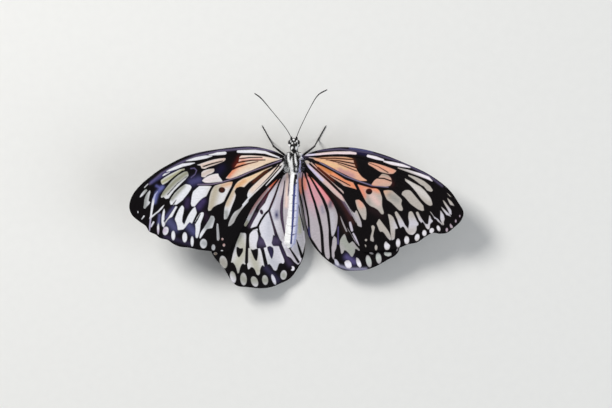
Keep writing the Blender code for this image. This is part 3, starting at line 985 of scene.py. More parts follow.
LEFT_FOREWING = Markings(
    panels={
        "cell_base": "280,159.3 272,157.8 262,156 250,155.3 241,155.5 239,158 239,161 237,164 234,168 231,172 "
            "228,175.5 225.5,178.5 230,179 236,177 243,174 250,171 258,167.5 266,164 273,161.8 279,160.3",
        "cell_end_upper": "225.5,158 220,158.5 214,159.5 207,161.5 200,164 196.5,165 201,166 201.5,168.5 205,169 "
            "209,167 214,165.5 219,163.5 224,161.5 225.8,159.5",
        "cell_end_middle": "214.5,168.5 209,169 204,170.5 201.5,172.5 201.5,177 205,177.5 208,175 212,173.5 "
            "214.5,171.5",
        "cell_end_lower": "218.5,173.5 214,174 209,175.5 204,178.5 202,181 205,182.8 210,183 215,182.5 220,182 "
            "223,181.5 221,178.5 219,176",
        "below_cell_cream": "273,166.3 265,169.5 258,172.5 250,176 243,178.5 238,181.5 235.5,184.5 233.5,188 231,193 "
            "228.5,198 226,203 224.5,208 224,214 224,219.5 227,219 229,215 231,209 233,204 235,199 236,195 "
            "234.5,191.5 236.5,188 240,186.6 246,187.5 250,184 256,179.5 262,175 267,171",
        "hind_cream": "279,163.5 273,169 266,174 259,180 252,186.5 248.5,190.5 247,195 248,198.5 251,195.5 257,189 "
            "263,183 269,176.5 274,170.5",
        "hind_grey": "249,200 244,204 240,208.5 235,211.5 233,214 231,217.5 229,222 228,226.5 231,225.5 234,222.5 "
            "236,218 238.5,214 241.5,209.8 244.5,206 248,202",
        "between_cubitals": "233,181.5 228,182 222,183.5 215,185.5 213,188 211,192 209.5,198 209,203 208,209 "
            "208.5,211 211,210.5 213,207.5 217,205 221,203.5 224,201.5 226,197 229,191 231.5,186.5",
        "below_cubital_fork": "199,186 205,185.8 212,186 211,189 209,193 207,196 203,198 200,200.5 197,204 195,206.5 "
            "192,206.5 191,204 191.5,200 192,196 193,192 195,189",
        "below_median_fork": "186,184 184,185 180,188 175,193 171,198 170,202 171,205 173,204.5 174.5,206 178,204 "
            "182,201 185,198.5 188,194 191,189.5 192,187 190.5,185 188,184.5",
        "outer_median": "188,172 186.5,170.8 183,172.5 178,175.5 172,181 167,187 163,192.5 161,197 162,198 164,197 "
            "166,199 169,198.5 172,195 176,190 180,186 184,182 187,178 189,175.5",
        "outer_radial": "185,168.5 180,169.5 175,172 170,174.5 165,177.5 161,180.5 161.5,183 163,185 165,184 170,181 "
            "175,177.5 180,173.5 185,170.5",
        "apex_dash_a": "147,189 148,190.5 146,193 143,196 140.5,197.5 140,197 142,193.5 145,190",
        "apex_dash_b": "150.5,190 151,192 150,196 149,201 151,202 149.5,204.5 147.5,206.5 145.5,209 143.8,208 "
            "144.5,204 144.8,200 146,196 148,192.5",
        "dash_h1": "164.5,208 163,212 162,217 161.8,222 162.5,226 164,227.5 165.5,225 165,221 164.8,216 165.5,211",
        "dash_h2": "165,226 166,223 168,220 170,218 172.5,217 174,214 175.5,211 178,206.5 176,206 173,209 171,212 "
            "169,216 167,219 165.5,222",
        "dash_w": "182.5,205 184.5,207.5 184,212 182.8,217 182.5,222 184,223.5 186,220.5 187.5,217 190,212.5 "
            "193,208.5 195.5,206.5 196.5,210 197.2,213.5 196,217 194,221 192.5,224 190,222 188,224 186,227 "
            "183.5,229.5 180,230 178,230.3 177.5,226 176.5,222.5 175,219.5 176,215.5 178,211 180,207.5",
        "dash_k": "202,212 204,212.5 204,215 202.5,219 201,223 200.5,228 199.5,233 198,238 196,238 195.5,234 "
            "195.8,229 195.5,225 194,224 195.5,220.5 198,216 200,213.5",
        "dash_l": "211,215.5 214,216 215,219 214,223 212.5,228 209.5,228.5 207,229 205,232 203,235 200.5,238.5 "
            "199.5,238 200,234 202,230.5 204.5,227 207,223 209.5,219",
        "dash_m": "217,223 218.5,224 219,229 219.5,235 219.8,239 218.5,241 217,240 216.8,234 216.5,228",
    },
    pale_dots=(
        Oval(203.7, 243.5, 3.6, 4.8), Oval(213.5, 247.3, 1.9, 3), Oval(222.5, 239, 1.1, 1.3), Oval(224, 245, 1.3, 1.6),
        Oval(222, 250.5, 1.2, 0.6), Oval(192.4, 241.3, 1.6, 5.2), Oval(185, 237.2, 2.5, 5.2),
        Oval(173.6, 235.4, 2, 4.8), Oval(166, 230.8, 2.9, 4.4, 15), Oval(158.6, 228.6, 1.2, 5.8),
        Oval(138.5, 212, 0.6, 1.2),
    ),
    dark_strokes={
        "cell_streak_upper": "262,157.4,0.4 250,157.6,0.5 238,159,0.6",
        "cell_streak_middle": "265,160,0.4 252,160.3,0.6 243,161.6,0.7 237,163,0.7",
        "cell_streak_lower": "258,161.5,0.3 248,163.8,0.6 238,166.8,0.8 232,169.5,0.9",
        "cell_end_crease": "223,161,0.3 212,163.6,0.4 203,166.5,0.4",
        "brown_streak": "276,166,0.8 265,172,1.2 256,179.5,1.6 250,184,1.9 246,188.5,2.2",
        "cubitus": "284,159.8,0.7 279.6,161,1.2 272,163.4,1.4 266,166,1.3 250,172.7,1.3 237,178.3,1.2 222,182.7,1 "
            "212,184.6,0.9 199,185,0.9",
        "cubitus_2": "237,180,1.1 232,188,1.1 228,196,1.1 224,204,1.2",
        "cubitus_1": "213,186,0.9 210,191,0.9 207,198,1.2 203,205,1 199,211,0.9 193,224,0.9",
        "media_3": "198,186,0.9 190,193,0.9 185,199,0.9 181,205,0.8 177,211,0.8 174,218,0.8",
        "media_1": "190,178,0.9 185,181.5,0.9 180,186.5,0.9 175,191.5,0.9 171,197,0.9 169,201,0.9 166,203.8,0.9 "
            "162.7,208.7,1 160.5,212.5,1 158.9,217.4,1 157,225,0.9",
        "radius_5": "190,170,0.7 182.5,171.5,0.7 174.6,177.2,0.7 168,183.2,0.8 162.7,189.7,0.9",
        "media_2": "175.2,205.4,0.9 171.4,211.4,0.9 167,218,0.9 164.9,221,0.8",
        "media_3_outer": "180,206,0.8 176.8,212,0.8 174.6,217.4,0.8",
        "dash_w_crease": "190.5,209.5,0.3 188,214.5,0.5 186,219.5,0.5 184.3,224,0.4",
        "dash_k_crease": "200.5,214,0.3 197.5,219.5,0.6 194.5,224.5,0.6",
        "below_fork_crease": "176.5,200,0.2 174.3,203.3,0.5 172.5,205.8,0.4",
        "outer_white_crease": "187,176.5,0.2 178,183.5,0.3 168,194.5,0.4",
        "cell_lower_crease": "222,161.5,0.2 214,163.8,0.3 204,166.8,0.3",
        "fold_line": "236,197,0.5 234.5,204,0.5 232,209,0.6 228.5,219,0.6",
    },
    dark_dots=(Oval(222, 190, 3.2, 2.8),),
    last_pale_strokes={
        "costa_inner": "279,157.5,0.6 272,155,1.1 265,152.4,1.4 255,151.3,1.7 245,151.5,1.6 238,151.6,1.3",
        "costa_middle": "225,153.2,1.6 218,153.8,1.6 213,154.6,1 209,154.8,0.4",
        "costa_outer": "212,156.2,0.5 206,157,1.6 197,158.7,1.7 190,160.2,1 186,161,0.3",
        "costa_far": "195,163,0.4 190,164,1.2 183,165.2,1.6 176,168,1.6 170,170.4,1.1 167,171.5,0.5",
        "costa_last": "170,172.4,0.3 165,174.6,0.9 163,176,0.4",
        "apex_fleck": "148.5,184,0.5 145,187.5,0.6",
        "outer_line": "158,191.5,0.4 155.7,194.5,0.8 154,199.5,1.2 152.8,206,1.2 152.1,211,1.1 151.4,216,0.9 "
            "150.7,222,0.8 150.2,227,0.8 150,231,0.4",
        "outer_branch": "150.5,218,0.9 153,216,0.9 156,213.5,0.7 159,211.2,0.8 162,208,0.9 164.5,205,0.3",
        "tip_fleck_a": "144.5,216,0.8 142.3,219,0.5",
        "tip_fleck_b": "154,222,0.9 151.5,226.5,0.8",
        "hind_lilac_line": "279,167,0.5 270,177.5,0.5 262,185.5,0.6 254,193,0.7 248,199,0.9 243,205,0.9",
        "hind_inner_line": "284.7,163,0.9 281.5,168,1.1 276.5,174,1 271,180,0.7 266,185.5,0.4",
        "root_beige": "283.8,162.2,0.9 281.6,164,1.1 280,165.5,0.7",
        "root_white": "281.5,158.6,0.5 277,159.2,0.6 271,160.3,0.3",
        "root_grey": "285.6,155.3,0.7 284.3,157.2,0.5",
    },
)

RIGHT_HINDWING = Markings(
    panels={
        "inner_strip": "296,176 300,172.5 303,171 302.2,178 302.4,186 303.6,193 305,200 307.2,209 309,218 309.8,226 "
            "310,233 308,231 305.4,222 303,211 301,200 298.5,190 296,184",
        "second_strip": "303.2,172 305.6,175 308.2,182 310.4,189 313,197 315.8,205 318,213.5 320,222 321.2,231 "
            "321.8,240 322,250 321.5,254 318,250 314,243.8 311.2,237 309.8,229 309,219 307,208 305,197 303,187 "
            "302.8,178",
        "third_strip": "306,171.5 309,174.5 312.5,180 316.5,187 320.5,194.5 324,202 327,210 328.6,219 329.3,229 "
            "329.4,240 330.2,249 330.5,256 328.5,259.8 325.5,257 323.6,248 323,236 322,226 320,216 317,206 313,194.5 "
            "309.6,184 307,177",
        "fourth_strip": "310.5,176 316,181.5 322,188.5 328,196 332.5,202.5 336,209.5 337.8,216 337.4,223 336,230 "
            "333.8,235.6 332,236.8 331,233 330.5,225 329.5,215 327,206 323,197 317.5,187.5 312.5,180",
        "fourth_lower": "334,235.6 336.6,238 337,243 336.2,248.5 334.4,252.5 334.8,256 333.6,260 331.6,256 331,250 "
            "332,245 332.4,240",
        "wedge": "340,214.8 341.8,218.6 344.4,224.4 347.6,231.6 346.2,232 343.3,226 341,220",
        "crown": "344.5,233.5 346,236.5 347,240 349,243.5 350.5,242.5 352.5,241 354.5,243 356,245.5 358.5,248 "
            "360,250 359,251 356.5,249 355,249 355,252 353.5,255 352.5,257 351,256.5 349,253.5 346.5,251 344.5,250 "
            "343.5,252.5 342,254 341,253.5 340.5,250 339.5,245 340,240 342,236.5",
        "front_strip": "347.8,222.6 352,222.6 354.2,226.5 353.8,230.5 355.4,233.5 357,236.5 358.4,240 359.2,243.6 "
            "356.8,244 354.5,240.8 352.3,237 351,233.8 349,231.5 347.2,228",
        "edge_a": "334,258.5 336.6,259.4 338.6,262 339.8,265.4 337.5,266 334.8,263.3",
        "edge_b": "346,260.3 349,260 351.2,262.5 352,266.5 350,268.6 347,268.2 345,265.4 344.3,262.3",
        "edge_c": "356,257 358.7,258.5 360.7,262 361.7,266 360,268 357.4,265.5 356,261.5",
        "edge_f": "384.5,251.8 388,252.4 391.4,252.4 391.4,255.4 388.2,256.6 385,255.4 383.8,253.5",
    },
    pale_dots=(
        Oval(368.7, 261.2, 2.7, 6.2, -13), Oval(378.6, 258.2, 2.8, 5.6, -8), Oval(371.3, 253.2, 2.1, 1, 15),
        Oval(397.3, 249.5, 0.8, 2, 30),
    ),
    dark_strokes={
        "inner_line": "298.2,188,0.5 299.6,194,0.7 301,200.5,0.8 302.5,207.8,0.8 303.9,217.2,0.8 305.6,225.2,0.9 "
            "307.9,232,1.1 310.2,238,1.1 313.6,243.3,1.2 318,250.7,1.3 322.8,256.7,1.4",
        "second_line": "302.8,173,0.4 302,180,0.7 302.3,186,0.8 303.4,193,0.9 305.2,201.5,0.9 307.2,210.5,0.9 "
            "308.6,219,0.9 309.2,228,0.9 309.6,234,0.8",
        "third_line": "305.2,174,0.7 307.7,181,0.9 309.9,188,0.9 312.3,195.5,1 315,203,1.1 317,211,1.1 319,219,1.2 "
            "321,227,1.3 322,235,1.4 322.5,244,1.4 323,252,1.4",
        "fourth_line": "308.5,174.6,0.6 311.9,179.6,0.8 315.4,185.4,0.9 319.2,192,1.1 323,198.8,1.3 326,206,1.5 "
            "328,213.2,1.3 329,221,1.2 329.8,229,1.1 330.2,237.3,1.5 330.2,245.3,1.2 330.8,254,1 331,261,1.1",
        "edge_gap": "338.6,232,0.8 338.2,240,1 338.4,250,1.2",
    },
    last_pale_strokes={"root_lilac": "300.4,160,0.5 301.5,164,0.6 301,168,0.5"},
)

LEFT_HINDWING = Markings(
    panels={
        "disc": "289,171 282,176 273,187 266,198 260,209 255,218 250,228 253,231 257,230 260.5,233 262.5,238 265,242 "
            "268,246 273,247 280,248 283,253 287,256 291,258 294,262 298,265 301,262 302.5,255 304.5,247 306.5,238 "
            "312,232 324,226 330,200 310,175 297,168",
        "front": "279.5,177.5 275,181 268,187.5 260,196.5 253,206 248,214 244.5,221 244,226 246,226.5 249,222 "
            "253,214 257,206 262,199 268,191 276,185 279.8,180",
        "front_outer": "262,189 257,193.5 252,199 248,204.5 245.5,209 247.5,209 251,205 256,199 260,194",
        "front_strip": "240,222 237,224.5 234.5,230 233,236 231,242.5 232.5,242.5 235,238 238,232 240.5,226",
        "outer_1": "240.5,232.5 246,233 246.5,240 246,250 245.5,265 243,263.5 241.5,264.5 240,268 239,273 "
            "237.5,273.5 236.5,269 235,265 233,262.5 231,262.5 230.5,260 231,255 232,250 233,246 235,241 238,236",
        "outer_2_upper": "249.5,234 252,231 257,230 258,234 258.5,238 257,242 256.5,246 257,249 252,250 249.5,248 "
            "249,240",
        "outer_2_lower": "247.5,248 252,248 258,248.5 260,248 261.5,252 262.5,257 263.5,262 264.5,267 262.5,265 "
            "261,267 260,270 260,273.5 258.5,275.5 256.5,274.5 255,270 253,267.5 251,267 249.5,269 248,269.5 247,265 "
            "247,258",
        "outer_3": "260.5,233 273,234 277,238 281,244 283,254 284.5,262 283,264 281,263 279,263.5 278,266 277,269.5 "
            "275.5,271 273.5,270 271.5,266.5 269.5,264 268,264.5 266.5,266 265.5,262 264.5,256 263.5,249 261,241",
    },
    pale_dots=(
        Oval(223.5, 262, 3.8, 6.5, -14), Oval(233, 277, 3, 6, -12), Oval(243.5, 279, 3.3, 6.3, -4),
        Oval(254.5, 281.5, 3.4, 5.5, -22), Oval(265, 280, 3, 5, -8), Oval(273.5, 279.5, 1.9, 5.5, -20),
        Oval(283.5, 275, 3.3, 4.8, 8), Oval(292.5, 268.5, 2.2, 2.4), Oval(215.5, 253.5, 1.9, 1.5),
    ),
    dark_strokes={
        "sector": "280,177,0.7 268,193,1 264,202,1.2 259,208,1.3 256,214,1.3 252,221,1.3 249,227,1.4",
        "cell_end": "247,231,1.2 252,229,1.2 258,227,1.2",
        "cubitus": "284,172,0.8 279,183,0.8 275,195,0.9 271,205,1 269,210,1 265,214,0.9 261,220,0.9 258,226,1",
        "cubitus_2": "269,211,0.8 271,218,0.9 274,228,1.2 276,235,1.6 283,252,2 290,268,2",
        "cubitus_1": "258,227,0.8 261,241,0.9 264,253,0.9 266.5,264,1 269,272,1.2",
        "media_3": "247.5,230,1 247,245,1.2 246.5,262,1.6",
        "media_2": "240,230,1.6 235,241,1.8 231,253,2 229.5,260,2",
        "anal_2": "284.6,181,0.4 283.8,188,0.6 282.6,196,1 281.6,204,1.4 281.3,212,1.5 281.8,219,1.4 283,226,1.1 "
            "284,231,0.9 284.6,236,0.3",
        "anal_inner": "288.8,172,0.4 289.6,181,0.6 288.6,190,0.6 288,196,0.2",
        "anal_3": "298.7,205,0.4 300,213,0.5 302.2,222,0.5 304,230,0.6",
        "anal_low": "296.6,240,0.3 298.5,246,0.9 300.5,252,1.2 302,257,1.3",
        "anal_middle": "289.5,248,0.5 292.5,252.5,0.9 296,258,1.1 298.5,262,1.2",
    },
    dark_panels={
        "spot_1": "236.5,247 238,247 240,248.5 243,248 243,251 241.5,254 239,257.5 237.5,256 236.5,252",
        "spot_2": "250.5,249 253,250 255.5,249 258,248.5 258,254 257,260 256,261 254,258 252,253",
        "blotch_1": "258.5,233.5 260.8,236 263.6,239.5 265.2,243.5 266.5,247 263,248 260,247.5 257.5,247 257,243 "
            "258,239",
        "blotch_2": "273,235 275,236 277,238 280,240 282,242 281,246 277,246 273,246 271.5,243 272.5,239",
        "spot_3": "267,247 270,246 273,248 273.5,252 272.5,257 271.5,259 270,256 268,251",
    },
    dark_dots=(Oval(261.5, 212, 1.5, 2.5, -20),),
)

FOREWING_MARKINGS = {Side.LEFT: LEFT_FOREWING, Side.RIGHT: RIGHT_FOREWING}
HINDWING_MARKINGS = {Side.LEFT: LEFT_HINDWING, Side.RIGHT: RIGHT_HINDWING}

# Washes of colour over the pale scales and the dark ones, by wing, as seen in display colours. The sides' pale colours
# are lit and shaded copies of one colour: the left wing is painted whiter, as if in glare, the right greyer, as if in
# shade.
FOREWING_PALE = {Side.RIGHT: (0.74, 0.71, 0.68), Side.LEFT: (0.94, 0.94, 0.96)}
FOREWING_PALE_WASHES = {
    Side.RIGHT: (
        Wash("322,160 350,168 366,179", 9, (0.93, 0.7, 0.58)),
        Wash("372,164 392,171", 5, (0.92, 0.66, 0.55)),
        Wash("374,181 388,181", 6, (0.87, 0.68, 0.6)),
        Wash("382,174 390,176", 2, (0.7, 0.63, 0.58)),
        Wash("316,157 352,159", 2.4, (0.9, 0.66, 0.5)),
        Wash("322,161.5 345,169", 2.4, (0.95, 0.8, 0.6), 0.8),
        Wash("318,166 336,175 355,187", 4, (0.93, 0.58, 0.42)),
        Wash("318,166 330,172", 2.6, (0.78, 0.48, 0.24), 0.8),
        Wash("312,168 330,184 344,198", 4, (0.9, 0.74, 0.73), 0.9),
        Wash("357,184 372,188 378,190", 3.5, (0.93, 0.6, 0.47)),
        Wash("360,188 365,196", 3, (0.92, 0.58, 0.48)),
        Wash("358,196 361,205", 3.6, (0.89, 0.68, 0.6)),
        Wash("384,191 388,193", 4, (0.86, 0.68, 0.56), 0.8),
        Wash("390,195 397,200", 3.5, (0.6, 0.59, 0.57), 0.8),
        Wash("368,196 369,203", 2.4, (0.62, 0.6, 0.58), 0.8),
        Wash("306,155 356,153", 2.2, (0.96, 0.88, 0.9)),
        Wash("368,156 405,166 432,180", 2.6, (0.98, 0.95, 0.98)),
        Wash("398,225 430,222 450,212", 6, (0.84, 0.83, 0.88), 0.8),
        Wash("376,240 400,245", 6, (0.68, 0.66, 0.66), 0.8),
        Wash("308,166 322,180", 1.8, (0.8, 0.78, 0.9), 0.9),
        Wash("345,203 362,226", 3, (0.72, 0.7, 0.74), 0.8),
        Wash("340,170 352,176", 3, (0.75, 0.54, 0.57), 0.75),
        Wash("372,196 378,203", 3.5, (0.92, 0.78, 0.75), 0.8),
        Wash("409,184 429,197", 4, (0.87, 0.85, 0.84), 0.8),
        Wash("386,246 407,240 424,233 438,228", 4, (0.95, 0.94, 0.97), 0.85),
        Wash("446.6,229.8 451.4,225.3 455.5,221 459.5,216", 2.2, (0.74, 0.65, 0.73), 0.9),
        Wash("350,223 357,243", 3, (0.8, 0.77, 0.84), 0.9),
        Wash("303,154 314,154.2", 2, (0.86, 0.85, 0.96), 0.9),
    ),
    Side.LEFT: (
        Wash("272,160 245,166 236,172", 8, (0.96, 0.85, 0.74)),
        Wash("270,157 241,157", 1.8, (0.97, 0.86, 0.8)),
        Wash("262,159 241,160", 1.2, (0.96, 0.72, 0.66), 0.9),
        Wash("243,163 236,167 229,176", 3.2, (0.93, 0.6, 0.46)),
        Wash("224,160 203,166", 4, (0.9, 0.8, 0.74)),
        Wash("213,170 203,175", 3, (0.84, 0.77, 0.73)),
        Wash("216,177 206,181", 4, (0.95, 0.9, 0.9)),
        Wash("268,170 250,178 238,186", 4.5, (0.95, 0.82, 0.66)),
        Wash("244,181 236,187", 2.5, (0.9, 0.68, 0.48), 0.8),
        Wash("276,167 252,190", 4, (0.96, 0.86, 0.78), 0.9),
        Wash("232,183 222,186", 3.5, (0.9, 0.73, 0.6)),
        Wash("233,192 227,204", 4, (0.82, 0.74, 0.64)),
        Wash("216,188 211,207", 6, (0.76, 0.72, 0.64)),
        Wash("226,212 227,218", 3, (0.66, 0.67, 0.66)),
        Wash("240,210 230,224", 4, (0.7, 0.69, 0.68)),
        Wash("184,170 163,182", 2.4, (0.7, 0.69, 0.55)),
        Wash("187,173 176,181 163,194", 3.6, (0.6, 0.6, 0.52)),
        Wash("184,186 172,199", 2.4, (0.65, 0.65, 0.61)),
        Wash("212,218 207,227", 4, (0.66, 0.67, 0.67)),
        Wash("218,226 219,240", 2.4, (0.66, 0.66, 0.67)),
        Wash("204,243 213,247", 4, (0.68, 0.69, 0.7)),
        Wash("147,190 145,207", 3.5, (0.62, 0.63, 0.62)),
        Wash("222,239 224,245", 2, (0.75, 0.6, 0.58)),
        Wash("165,230 158,232", 3, (0.82, 0.76, 0.84)),
        Wash("279,157.5 272,155 265,152.4 255,151.3 238,151.6", 1.3, (0.98, 0.97, 1)),
        # Painted sheen: the bluish tints on the pale lines near the outer margin.
        Wash("157,192 154.5,198", 2, (0.68, 0.7, 0.9), 0.9),
        Wash("150.6,220 150,230", 2, (0.7, 0.66, 0.8), 0.9),
    ),
}
FOREWING_DARK_WASHES = {
    Side.RIGHT: (
        # Painted sheen: the slate-violet bands along the costa.
        Wash("318,150.4 340,149.2 372,153.4 402,162.2 430,176.7 442,186", 1, (0.34, 0.31, 0.42), 0.85),
        Wash("350,148.2 372,151.6", 1, (0.34, 0.34, 0.52), 0.8),
        # Painted highlight: the pale violet line along the middle of the cubitus vein.
        Wash("320,162.4 346,176.6 360,181.6 372,185.6 388,187", 0.5, (0.55, 0.51, 0.64), 0.85),
        Wash("355,152.5 368,155", 1.5, (0.12, 0.1, 0.24), 0.8),
        Wash("388,176 392,184", 2.5, (0.24, 0.1, 0.1), 0.6),
        Wash("372,209 380,214", 4, (0.13, 0.08, 0.09), 0.8),
        Wash("303,154 308,154", 2.5, (0.42, 0.38, 0.52), 0.8),
        Wash("318,168 332,180", 2.5, (0.33, 0.13, 0.08), 0.9),
        Wash("334,192 346,210 352,222", 3, (0.22, 0.12, 0.12), 0.8),
        Wash("341,198 346,206 352,215", 1.1, (0.46, 0.38, 0.46), 0.85),
        Wash("322,158.8 353,160.5 355,167", 2, (0.34, 0.16, 0.08), 0.8),
        Wash("366,189 372,189", 2.5, (0.3, 0.07, 0.05), 0.7),
    ),
    Side.LEFT: (
        # Painted sheen: the violet and blue washes over the black here, along the costa and over the outer half of the
        # wing.
        Wash("276,151.3 262,149.3 248,148.2 220,150.9 196,156.4 180,163.2 162,173.4 150,184", 1, (0.42, 0.38, 0.5),
            0.85),
        Wash("191,168.6 194.6,168.2 196.8,170.6 195.4,174.2 191.4,177.6", 0.45, (0.44, 0.4, 0.56), 0.9),
        Wash("166,236.5 178,240 190,243.5", 2.4, (0.2, 0.17, 0.27), 0.8),
        Wash("240,145.9 215,148.5 190,155", 0.6, (0.42, 0.38, 0.48), 0.6),
        Wash("178,167.5 166,173.5 152,182.5", 1.5, (0.34, 0.33, 0.54), 0.7),
        # Painted highlight: the pale violet line along the middle of the cubitus vein.
        Wash("281,160.6 250,172 240,176.6 222,182.2 212,184.2 198,184.6", 0.5, (0.6, 0.53, 0.64), 0.85),
        Wash("157,186 161,188", 1.4, (0.38, 0.38, 0.62), 0.8),
        Wash("192,182 199,180", 4, (0.29, 0.28, 0.46), 0.9),
        Wash("163,187 157.5,193 155,202", 1.8, (0.42, 0.44, 0.68), 0.9),
        Wash("240,159 236,166", 3, (0.4, 0.12, 0.08), 0.8),
        Wash("258,161 246,164", 2, (0.42, 0.14, 0.1), 0.8),
        Wash("266,171 254,181", 2.4, (0.34, 0.17, 0.1), 0.8),
        Wash("188,200 187,206", 3, (0.22, 0.17, 0.3), 0.9),
        Wash("203,201 199,207", 3.4, (0.26, 0.21, 0.38), 0.9),
        Wash("174,208 167,217", 2, (0.3, 0.29, 0.45), 0.9),
        Wash("170,222 175,228", 4.5, (0.32, 0.32, 0.48), 0.9),
        Wash("189,226 194,232", 4, (0.31, 0.31, 0.48), 0.9),
        Wash("160,215 159,224", 1.4, (0.38, 0.38, 0.56), 0.9),
        Wash("204,213 208,220", 3, (0.16, 0.1, 0.17), 0.8),
        Wash("222,188 222,192", 3, (0.26, 0.12, 0.08), 0.9),
        Wash("222,168 218,173", 4, (0.1, 0.08, 0.2), 0.8),
    ),
}
# The hindwings' pale colours are lit and shaded copies of one colour too: the left painted whiter, the right greyer.
HINDWING_PALE = {Side.RIGHT: (0.73, 0.7, 0.72), Side.LEFT: (0.93, 0.92, 0.95)}
HINDWING_PALE_WASHES = {
    Side.RIGHT: (
        Wash("306,178 312,192 316,200", 9, (0.85, 0.62, 0.66)),
        Wash("312,178 322,190 331,202", 4, (0.98, 0.61, 0.64)),
        Wash("299.5,180 300.5,192", 2.4, (0.98, 0.64, 0.52)),
        Wash("300,172 300.3,176", 2, (0.8, 0.78, 0.86), 0.9),
        Wash("304.6,178 305,188", 2.4, (0.9, 0.58, 0.5)),
        Wash("302,200 307,228", 2.6, (0.74, 0.7, 0.72)),
        Wash("312,205 316,216", 3, (0.76, 0.68, 0.72), 0.7),
        Wash("309,174 313,179", 2.4, (0.9, 0.58, 0.46)),
        Wash("331,202 330,206", 2.6, (0.42, 0.42, 0.47), 0.9),
        Wash("322,207 323,212", 2, (0.6, 0.58, 0.64), 0.9),
        Wash("332,214 333,232", 3.4, (0.77, 0.76, 0.79), 0.8),
        Wash("344,240 352,252", 7, (0.65, 0.66, 0.63)),
        Wash("347,265 360,264", 4, (0.97, 0.96, 1)),
        Wash("336,262 337,264", 3, (0.78, 0.78, 0.84)),
        Wash("368,261 388,253", 4.5, (0.76, 0.78, 0.76)),
        Wash("350,225 357,242", 2.4, (0.82, 0.78, 0.84)),
        Wash("364.5,246 364.6,246", 2, (0.42, 0.38, 0.28)),
    ),
    Side.LEFT: (
        # Painted shade: a greyer band along the abdomen's edge.
        Wash("287,200 286,215 285,238", 3, (0.8, 0.77, 0.79)),
        # Painted light: washed brighter to lift the shadow that the abdomen casts here.
        Wash("287.5,174 286.6,196 286,206", 2.2, (1, 0.9, 0.86)),
        Wash("283.5,178 280,196", 1.8, (0.96, 0.9, 0.92)),
        Wash("277,180 270,186", 2.6, (1, 0.48, 0.32)),
        Wash("266,190 256,203 249,212", 2.6, (0.8, 0.56, 0.55), 0.9),
        Wash("238,236 244,250 238,264", 7, (0.79, 0.78, 0.72)),
        Wash("253,256 257,270", 6, (0.76, 0.75, 0.69)),
        Wash("271,260 276,266", 5, (0.85, 0.85, 0.88)),
        Wash("268,222 266,236", 6, (0.86, 0.86, 0.9)),
        Wash("277,200 278,216", 5, (0.88, 0.86, 0.9)),
        Wash("277,224 278,232", 4, (0.98, 0.97, 1)),
        Wash("222,262 245,280 266,280", 6, (0.66, 0.66, 0.62)),
        Wash("283.5,275 284,276", 4, (0.66, 0.67, 0.63)),
        Wash("273,276 275,284", 2.6, (0.93, 0.92, 0.97)),
        Wash("276.5,212 276.6,217", 2.4, (0.62, 0.62, 0.72), 0.9),
        Wash("276.4,214.4 276.5,215.4", 1.3, (0.26, 0.26, 0.42), 0.95),
        Wash("247,222 245,226", 2, (0.75, 0.74, 0.62), 0.9),
        Wash("236,226 232,240", 2.6, (0.66, 0.62, 0.68)),
        # Painted light: these two are washed brighter to lift the shadow of the abdomen and the wing above.
        Wash("299,215 302,240 303,252", 5, (0.92, 0.9, 0.9)),
        Wash("299.5,218 299.8,232", 1.8, (0.84, 0.84, 0.72)),
        Wash("288,250 297,262", 4, (0.74, 0.72, 0.76)),
        Wash("215.5,253.5 216,254", 2, (0.6, 0.52, 0.42)),
        Wash("223.5,261 223.6,263", 4, (0.66, 0.64, 0.61), 0.8),
    ),
}
HINDWING_DARK_WASHES = {
    Side.RIGHT: (
        Wash("336,265 350,269 366,269", 1.6, (0.56, 0.55, 0.65), 0.9),
        Wash("347,257 354,262", 3.2, (0.34, 0.31, 0.5), 0.9),
        Wash("338.2,227 338,244", 0.6, (0.36, 0.33, 0.52), 0.9),
        Wash("309,228 310,236", 1.2, (0.25, 0.24, 0.42), 0.8),
        Wash("322,188 334,200", 2.4, (0.42, 0.1, 0.12), 0.8),
        Wash("340,215 346,232", 3, (0.16, 0.11, 0.1), 0.8),
    ),
    Side.LEFT: (
        Wash("284,186 281.5,203 281,215 285,232", 3, (0.35, 0.28, 0.37), 0.9),
        Wash("288.8,173 289.5,181 288.2,195", 1.5, (0.48, 0.44, 0.52), 0.9),
        Wash("270,212 275,232", 2, (0.3, 0.24, 0.31), 0.8),
        Wash("275,190 270,206", 2, (0.27, 0.17, 0.22), 0.8),
        Wash("256,214 250,226", 2, (0.3, 0.24, 0.32), 0.9),
        Wash("266,196 260,208", 1.8, (0.36, 0.26, 0.33), 0.8),
        Wash("261,242 277,241", 5, (0.33, 0.29, 0.41), 0.9),
        Wash("270,250 271,256", 3.5, (0.2, 0.18, 0.31), 0.9),
        Wash("280,248 290,264", 3, (0.24, 0.2, 0.3), 0.8),
        Wash("272,188 262,198", 2.4, (0.34, 0.06, 0.08), 0.9),
        Wash("266,268 277,280", 3, (0.22, 0.2, 0.32), 0.7),
        Wash("261.5,210 261.6,214", 2.5, (0.24, 0.17, 0.24), 0.9),
    ),
}


# ---------------------------------------------------------------- wings


